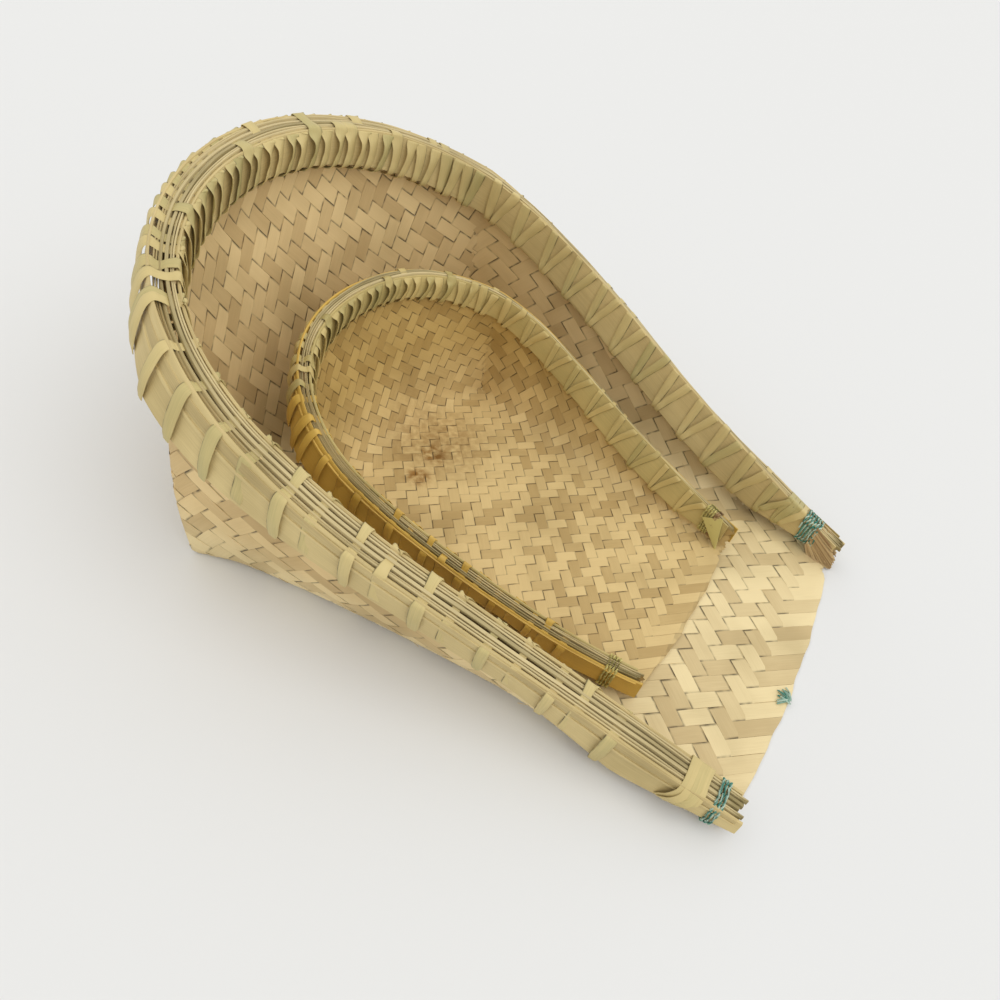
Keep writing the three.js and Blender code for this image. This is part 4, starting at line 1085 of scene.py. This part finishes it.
def splint_strips(basket, k):
    """The splints that lie in the place of one CAD splint: two at the edges and one between."""
    last = len(basket.splint_starts) - 1
    count = 2 if k in (0, last) else 1
    width = basket.size["splint"] / count
    found = []
    for part in range(count):
        seed = 31 * k + 7 * part + SPLINT_SEEDS[basket.name]
        trim = 1.5 * (1 + (k % 3)) + 1.3 * part
        travel = np.linspace(trim, basket.length - trim, 300)
        across = basket.splint_starts[k] + width * (part + 0.5) + 0.22 * slow_wave(travel, 31, seed)
        height = SPLINT_HEIGHT * (1 + 0.12 * slow_wave(travel, 40, seed + 2))
        # The outer splints are deeper where the band stands off, so that they close the gap behind it
        if k >= last - 1:
            height = height + SHOULDER_DEPTH * basket.stand_off(travel)
        top = basket.crown(travel, across) + 0.4 * slow_wave(travel, 29, seed + 1) - 0.3
        centre = basket.point(travel, across, top + height / 2)
        half_width = (basket.point(travel, across + width * 0.8, top + height / 2) - centre) / 2
        half_thickness = basket.point(travel, across, top) - centre
        from_end = np.minimum(travel, basket.length - travel) - trim
        tone = 0.15 + 0.7 * ((k * 37 + part * 61) % 10) / 10 + 0.25 * slow_wave(travel, 60, seed + 5)
        tone = np.clip(tone, 0.05, 1) + 0.9 * np.exp(-from_end / 5)
        found.append((centre, half_width, half_thickness, tone))
    return found


for basket in (large, small):
    for k in range(len(basket.splint_starts)):
        splints = splint_strips(basket, k)
        draw_strips(f"{basket.name}_rim_splint_{k + 1}", basket, splints, "rim_splint", 8, 0.5)

# %% [markdown]
# ## Lashing strips
# One long flat strip sews each stretch of the rim. It comes up out of a hole below the inner band, crosses
# the band, goes over the splints and down outside, to end against the outer band's foot. Two crossings share
# a hole and spread at the top, which draws a row of Vs. Round the back the strip is wider and stands loose,
# like crescents. Each turn here is a path through named corners of the rim's section.

# %% Lashing paths
# The share of crossings that dive between the splints, and how deep; the others lie on top
HIDDEN_SHARE = 0.78
HIDDEN_DEPTH = 1.3
SECOND_LEG_DEPTH = 2.1
LOOSE_PLACE = 0.36
LOOSE_REACH = 0.1
LASHING_THICKNESS = 0.55


def through(corners, steps=7):
    """A smooth path through rows of numbers: a Catmull-Rom spline."""
    corners = np.asarray(corners, float)
    padded = np.concatenate([corners[:1] * 2 - corners[1:2], corners, corners[-1:] * 2 - corners[-2:-1]])
    rows = []
    for i in range(len(corners) - 1):
        a, b, c, d = padded[i:i + 4]
        for t in np.arange(steps) / steps:
            rows.append(0.5 * (2 * b + (c - a) * t + (2 * a - 5 * b + 4 * c - d) * t * t
                               + (3 * b - a - 3 * c + d) * t ** 3))
    rows.append(corners[-1])
    return np.array(rows)


def wound_strip(basket, corners, thickness, tone):
    """A flat strip through corners of (travel, out, down, half width, tilt)."""
    rows = through(corners)
    centre = basket.point(rows[:, 0], rows[:, 1], rows[:, 2])
    run = unit(np.gradient(centre, axis=0))
    side = square_to(basket.at(rows[:, 0], basket.along), run)
    lift = unit(np.cross(side, run))
    tilt = rows[:, 4:5]
    side, lift = side * np.cos(tilt) + lift * np.sin(tilt), lift * np.cos(tilt) - side * np.sin(tilt)
    return centre, side * rows[:, 3:4], lift * thickness / 2, tone


def turn_corners(basket, hole, top, foot, width, proud, bulge, stand, tilt, loose, dips=(-0.6, -0.6)):
    """The corners of one turn, from its hole up the inside, over the top and down to its foot outside."""
    w = basket.width
    band_in = float(basket.band_at(top))
    band_out = band_in * basket.size["outer_share"]
    off = float(basket.stand_off(foot))
    lift = SHOULDER_LIFT * float(basket.stand_off(top))
    narrow = width * 0.62
    first_dip, second_dip = dips
    up = [hole + (top - hole) * share for share in (0.05, 0.35, 0.7, 0.95)]
    over = [float(basket.crown(top, out)) for out in (w * 0.35, w * 0.65, w)]
    drop = [top + (foot - top) * share for share in (0.1, 0.45, 0.8)]
    return [
        (hole, basket.panel_inside, band_in + 1.8, narrow, 0),
        (up[0], -stand * 0.8, band_in + 0.2, narrow, tilt * 0.5),
        (up[1] + bulge, -stand - proud * 0.45, band_in * 0.66, width * 0.9, tilt),
        (up[2] + bulge * 0.7, -stand - proud * 0.5, band_in * 0.33, width, tilt),
        (up[3], -stand * 0.7, 1.9, width, 0),
        (top, 0.6, first_dip - 0.3, width * 0.9, 0),
        (top, w * 0.35, over[0] + first_dip, width * 0.75, 0),
        (top, w * 0.65, over[1] + second_dip - lift * 0.3, width * 0.75, 0),
        (top, w - 0.6, over[2] + second_dip * 0.6 - lift, width * 0.9, 0),
        (drop[0], w + stand + 0.5 + loose * 0.6 + off * 0.15, over[2] + 2.4 - lift * 0.7, width, -tilt * 0.5),
        (drop[1], w + stand + 0.7 + loose + off * 0.55, band_out * 0.5, width * 0.95, -tilt),
        (drop[2], w + stand + loose * 0.5 + off * 0.9, band_out * 0.85, width * 0.9, -tilt * 0.5),
        (foot, w + stand * 0.6 + min(loose, 0) + off, band_out + 0.8, width * 0.65, 0),
    ]


def lash(basket, start, end, count, width, spread, seed):
    """A row of V pairs between two travels along the rim. The second leg of a pair lies deeper outside."""
    rng = np.random.default_rng(seed)
    pitch = (end - start) / count
    found = []
    for k in range(count):
        hole = start + (k + 0.5) * pitch + rng.uniform(-1, 1)
        back = float(basket.at(hole, basket.back_share))
        half = width / 2 * (1 + 0.4 * back) * rng.uniform(0.85, 1.15)
        outward = 2.0 * back * rng.uniform(0.5, 1.2)
        shoulder = hump(hole / basket.length, LOOSE_PLACE, LOOSE_REACH)
        for leg, lean in enumerate(spread):
            foot = hole + leg * (0.5 * back * pitch + 1.8 * (1 - back))
            top = hole + (lean + 0.25 * back) * pitch + rng.uniform(-0.6, 0.6)
            loose = 0.06 * basket.width * (1 - leg) + 0.1 * basket.width * shoulder * rng.uniform(0.6, 1.1)
            if leg == 1 and shoulder < 0.5:
                loose = -SECOND_LEG_DEPTH
            dips = np.where(rng.uniform(size=2) < HIDDEN_SHARE, HIDDEN_DEPTH, -0.5)
            corners = turn_corners(
                basket, foot, top, top + 2.5, half, outward, 2.0 * back, 0.5 + 0.4 * leg,
                -0.1 - 0.16 * leg - 0.35 * back, loose, dips)
            found.append(wound_strip(basket, corners, LASHING_THICKNESS, rng.uniform(0, 0.75)))
    return found


# V pairs on the left, back and right, where the lashing starts, its width and where its legs lean to
LASHINGS = (
    (large, (8, 17, 12), 46, 5.7, (0.15, 0.72)),
    (small, (9, 12, 9), 28, 4.2, (0.15, 0.7)),
)
for basket, counts, first, width, spread in LASHINGS:
    third = (basket.length - 2 * first) / 3
    for k, (side, count) in enumerate(zip(("left", "back", "right"), counts)):
        start = first + k * third
        turns = lash(basket, start, start + third, count, width, spread, 50 + k)
        slot = f"{basket.name}_binding"
        finish = "small_outer_band" if basket is small and side == "left" else slot
        draw_strips(f"{slot}_{side}", basket, turns, finish, 8, 0.4, slot, 1.05)

# %% [markdown]
# ## The tips
# Near each tip of the large rim a wider strip is wound several times and the turns bulge over each other.
# Dyed twine of two strands holds the last of it, and yellow twine holds the tips of the small rim. Twine
# could be a bumpy texture on a tube, but close up the two strands must show, so each is drawn on its own path
# round a shared middle line.

# %% Close wraps
WRAP_THICKNESS = 0.5
# Name, hole and top along the rim, number and width of turns, seed, steps at hole and top, proud and slant
WRAPS = (
    ("large_end_wrap_left", 25, 27, 5, 3.6, 81, 1.2, 2.3, 3.2, 10),
    ("large_end_wrap_right", large.length - 43, large.length - 37, 4, 4.4, 82, 1.4, 3.4, 1.8, 0),
)


def close_wrap(basket, hole, top, count, width, seed, hole_step, top_step, proud, slant):
    """Several turns of one strip side by side, gathered at the hole and spread over the top."""
    rng = np.random.default_rng(seed)
    found = []
    for k in range(count):
        offset = k - (count - 1) / 2
        out = proud * (1 - abs(offset) / count)
        corners = turn_corners(
            basket, hole + offset * hole_step, top + offset * top_step, top + offset * hole_step + slant,
            width / 2 * rng.uniform(0.9, 1.1), out, 0, 0.5 + 0.7 * (k % 2), 0.12, out)
        found.append(wound_strip(basket, corners, WRAP_THICKNESS, rng.uniform(0.0, 0.8)))
    return found


for name, *numbers in WRAPS:
    draw_strips(name, large, close_wrap(large, *numbers), "large_binding")

# %% Twine
TWINE_STEPS = 44
TWINE_CLEARANCE = 0.9
TWINE_LAY = 4.5
BUNDLE_SQUARENESS = 0.45


def twine_lashing(basket, start, end, turns, radius, tones):
    """The two plies of a twine that is wound round the whole bundle, from start to end of its turns."""
    angles = np.linspace(0, 2 * math.pi * turns, TWINE_STEPS * turns + 1)
    travel = np.linspace(start, end, len(angles))
    middle_out, middle_down = basket.width / 2, basket.band_at(travel) / 2
    across, below = (np.sign(v) * abs(v) ** BUNDLE_SQUARENESS for v in (np.cos(angles), np.sin(angles)))
    out = middle_out - (middle_out + TWINE_CLEARANCE) * across
    down = middle_down - (middle_down + TWINE_CLEARANCE) * below
    down += basket.size["slope"] * np.clip(out, 0, basket.width) * (np.sin(angles) > 0)
    centre = basket.point(travel, out, down)
    run = unit(np.gradient(centre, axis=0))
    first = square_to(unit(centre - basket.point(travel, middle_out, middle_down)), run)
    second = np.cross(run, first)
    found = []
    for k, tone in enumerate(tones):
        angle = (2 * math.pi * (path_lengths(centre) / TWINE_LAY + k / len(tones)))[:, None]
        away = first * np.cos(angle) + second * np.sin(angle)
        ply = radius * 0.56
        found.append((centre + away * radius * 0.5, np.cross(run, away) * ply, away * ply, tone))
    return found


# Name, basket, start, end and number of the turns, radius, tones of the two plies and finish
large_end, small_end = large.length, small.length
TWINES = (
    ("large_twine_left", large, 11.5, 17, 3, 0.75, (0.35, 0.95), "green_twine"),
    ("large_twine_right", large, large_end - 29, large_end - 17, 6, 0.9, (0.1, 0.95), "green_twine"),
    ("small_tip_tie_left", small, 14, 20.5, 4, 0.7, (0.2, 0.7), "yellow_strip"),
    ("small_tip_tie_right", small, small_end - 21, small_end - 14.5, 4, 0.75, (0.25, 0.6), "yellow_strip"),
)
for name, basket, *numbers, finish in TWINES:
    draw_strips(name, basket, twine_lashing(basket, *numbers), finish, 6, 1.0)
# A dark strand lies beside the small right tie
strand = twine_lashing(small, small_end - 14.5, small_end - 12, 2, 0.8, (0.7, 1.3))
draw_strips("small_tip_strand_right", small, strand, "brown_fibre", 6, 1.0, "yellow_strip", stands_in=False)

# %% [markdown]
# ## Stray fibres
# Split bamboo sheds hairs. They gather along the lower edge of the outside, where the mat is bent hardest.

# %% Stray fibres
STRAY_FIBRES = 70
STRAY_HALF_WIDTH = 0.13
rng = np.random.default_rng(17)
share = np.linspace(0, 1, 8)[:, None]
fibres = []
for _ in range(STRAY_FIBRES):
    travel = rng.uniform(0.1, 0.9) * large.length
    down = large.at(travel, large.wall) * rng.uniform(0.75, 0.93)
    out = large.at(travel, large.out)
    along = large.at(travel, large.along)
    heading = along * rng.uniform(-1, 1) + out * rng.uniform(0.1, 0.5)
    curl = np.cross(unit(heading), out) * rng.uniform(-2, 2)
    centre = large.point(travel, large.panel_outside + 0.2, down) + curl * share ** 2
    centre = centre + heading * rng.uniform(3, 7) * share
    centre[:, 2] = np.maximum(centre[:, 2], 1.0)
    run = unit(np.gradient(centre, axis=0))
    side = unit(np.cross(run, out))
    lift = np.cross(side, run)
    fibres.append((centre, side * STRAY_HALF_WIDTH, lift * STRAY_HALF_WIDTH, rng.uniform(0, 1)))
draw_strips("large_stray_fibres", large, fibres, "large_weave", 4, 1.0, stands_in=False)

# %% [markdown]
# ## Frayed and cut ends
# At the large rim's right tip the band ends have split into brown fibres that spread to a round end. The
# small inner band is cut to a point past its right tie. At the front edge a tuft of dyed threads is left of a
# mend. Hair systems would do, but a few dozen drawn fibres with a seed are lighter and stay the same on every
# run.

# %% Fan of fibres
FAN_FIBRES = 110
FAN_START = 20
FAN_LENGTH = 21
FAN_SPREAD = 5.0
FAN_DROP = 6.5
rng = np.random.default_rng(5)
share = np.linspace(0, 1, 9)
fibres = []
for spread in np.linspace(-1, 1, FAN_FIBRES):
    depth = rng.uniform(-1.2, 0.3) if rng.uniform() < 0.7 else rng.uniform(0, large.width * 0.9)
    round_end = math.sqrt(max(1 - (0.85 * spread) ** 2, 0.05))
    travel = large.length - FAN_START + FAN_LENGTH * round_end * rng.uniform(0.92, 1.0) * share
    half_band = large.band_at(travel[0]) * 0.5
    down = half_band + spread * (half_band + FAN_SPREAD * share) + FAN_DROP * share
    centre = large.point(travel, depth, down)
    centre[:, 2] = np.maximum(centre[:, 2], 1.5)
    side = large.at(travel, large.down) * rng.uniform(0.4, 0.85) * (1.1 - 0.45 * share)[:, None]
    fibres.append((centre, side, large.at(travel, large.out) * 0.3, rng.uniform(0.0, 1.0)))
draw_strips("large_tip_fan_right", large, fibres, "brown_fibre", 6, 0.6)

# %% Pointed band end
share = np.linspace(0, 1, 14)
travel = small.length - 15 + 11 * share
centre = small.point(travel, -0.9 - 0.5 * share, 3 + 15 * share)
side = 0.8 * small.at(travel, small.along) - 0.6 * small.at(travel, small.down)
side = side * (6.5 * (1 - share) + 0.4)[:, None]
leaf = (centre, side, small.at(travel, small.out) * 0.5, 0.1)
draw_strips("small_band_point", small, [leaf], "yellow_strip", 12, 0.3, "small_binding", stands_in=False)

# %% Tuft at the front edge
TUFT_THREADS = 14
TUFT_LENGTH = 8.5
tie_low, tie_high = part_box("large_front_tie")
tie_place = np.array(((tie_low.x + tie_high.x) / 2 / MM, tie_low.y / MM - PACK_SHIFT[1] + 1.2, 2.1))
rng = np.random.default_rng(6)
share = np.linspace(0, 1, 10)[:, None]
threads = []
for _ in range(TUFT_THREADS):
    heading = rng.uniform(0.2, 2.6)
    way = np.array([math.cos(heading), math.sin(heading), 0])
    bend = np.array([-way[1], way[0], 0]) * rng.uniform(-3, 3)
    start = tie_place + rng.normal(0, 1, 3) * (0.8, 0.5, 0)
    reach = TUFT_LENGTH * rng.uniform(0.5, 1)
    centre = start + way * reach * share + bend * share ** 2
    centre[:, 2] += 0.8 * np.sin(math.pi * share[:, 0]) * rng.uniform(0.3, 1.6)
    run = unit(np.gradient(centre, axis=0))
    side = np.cross(run, [0, 0, 1.0])
    threads.append((centre, side * 0.4, np.cross(side, run) * 0.35, rng.uniform(0.2, 1.0)))
draw_strips("large_front_tie", large, threads, "green_twine", 6, 0.9)
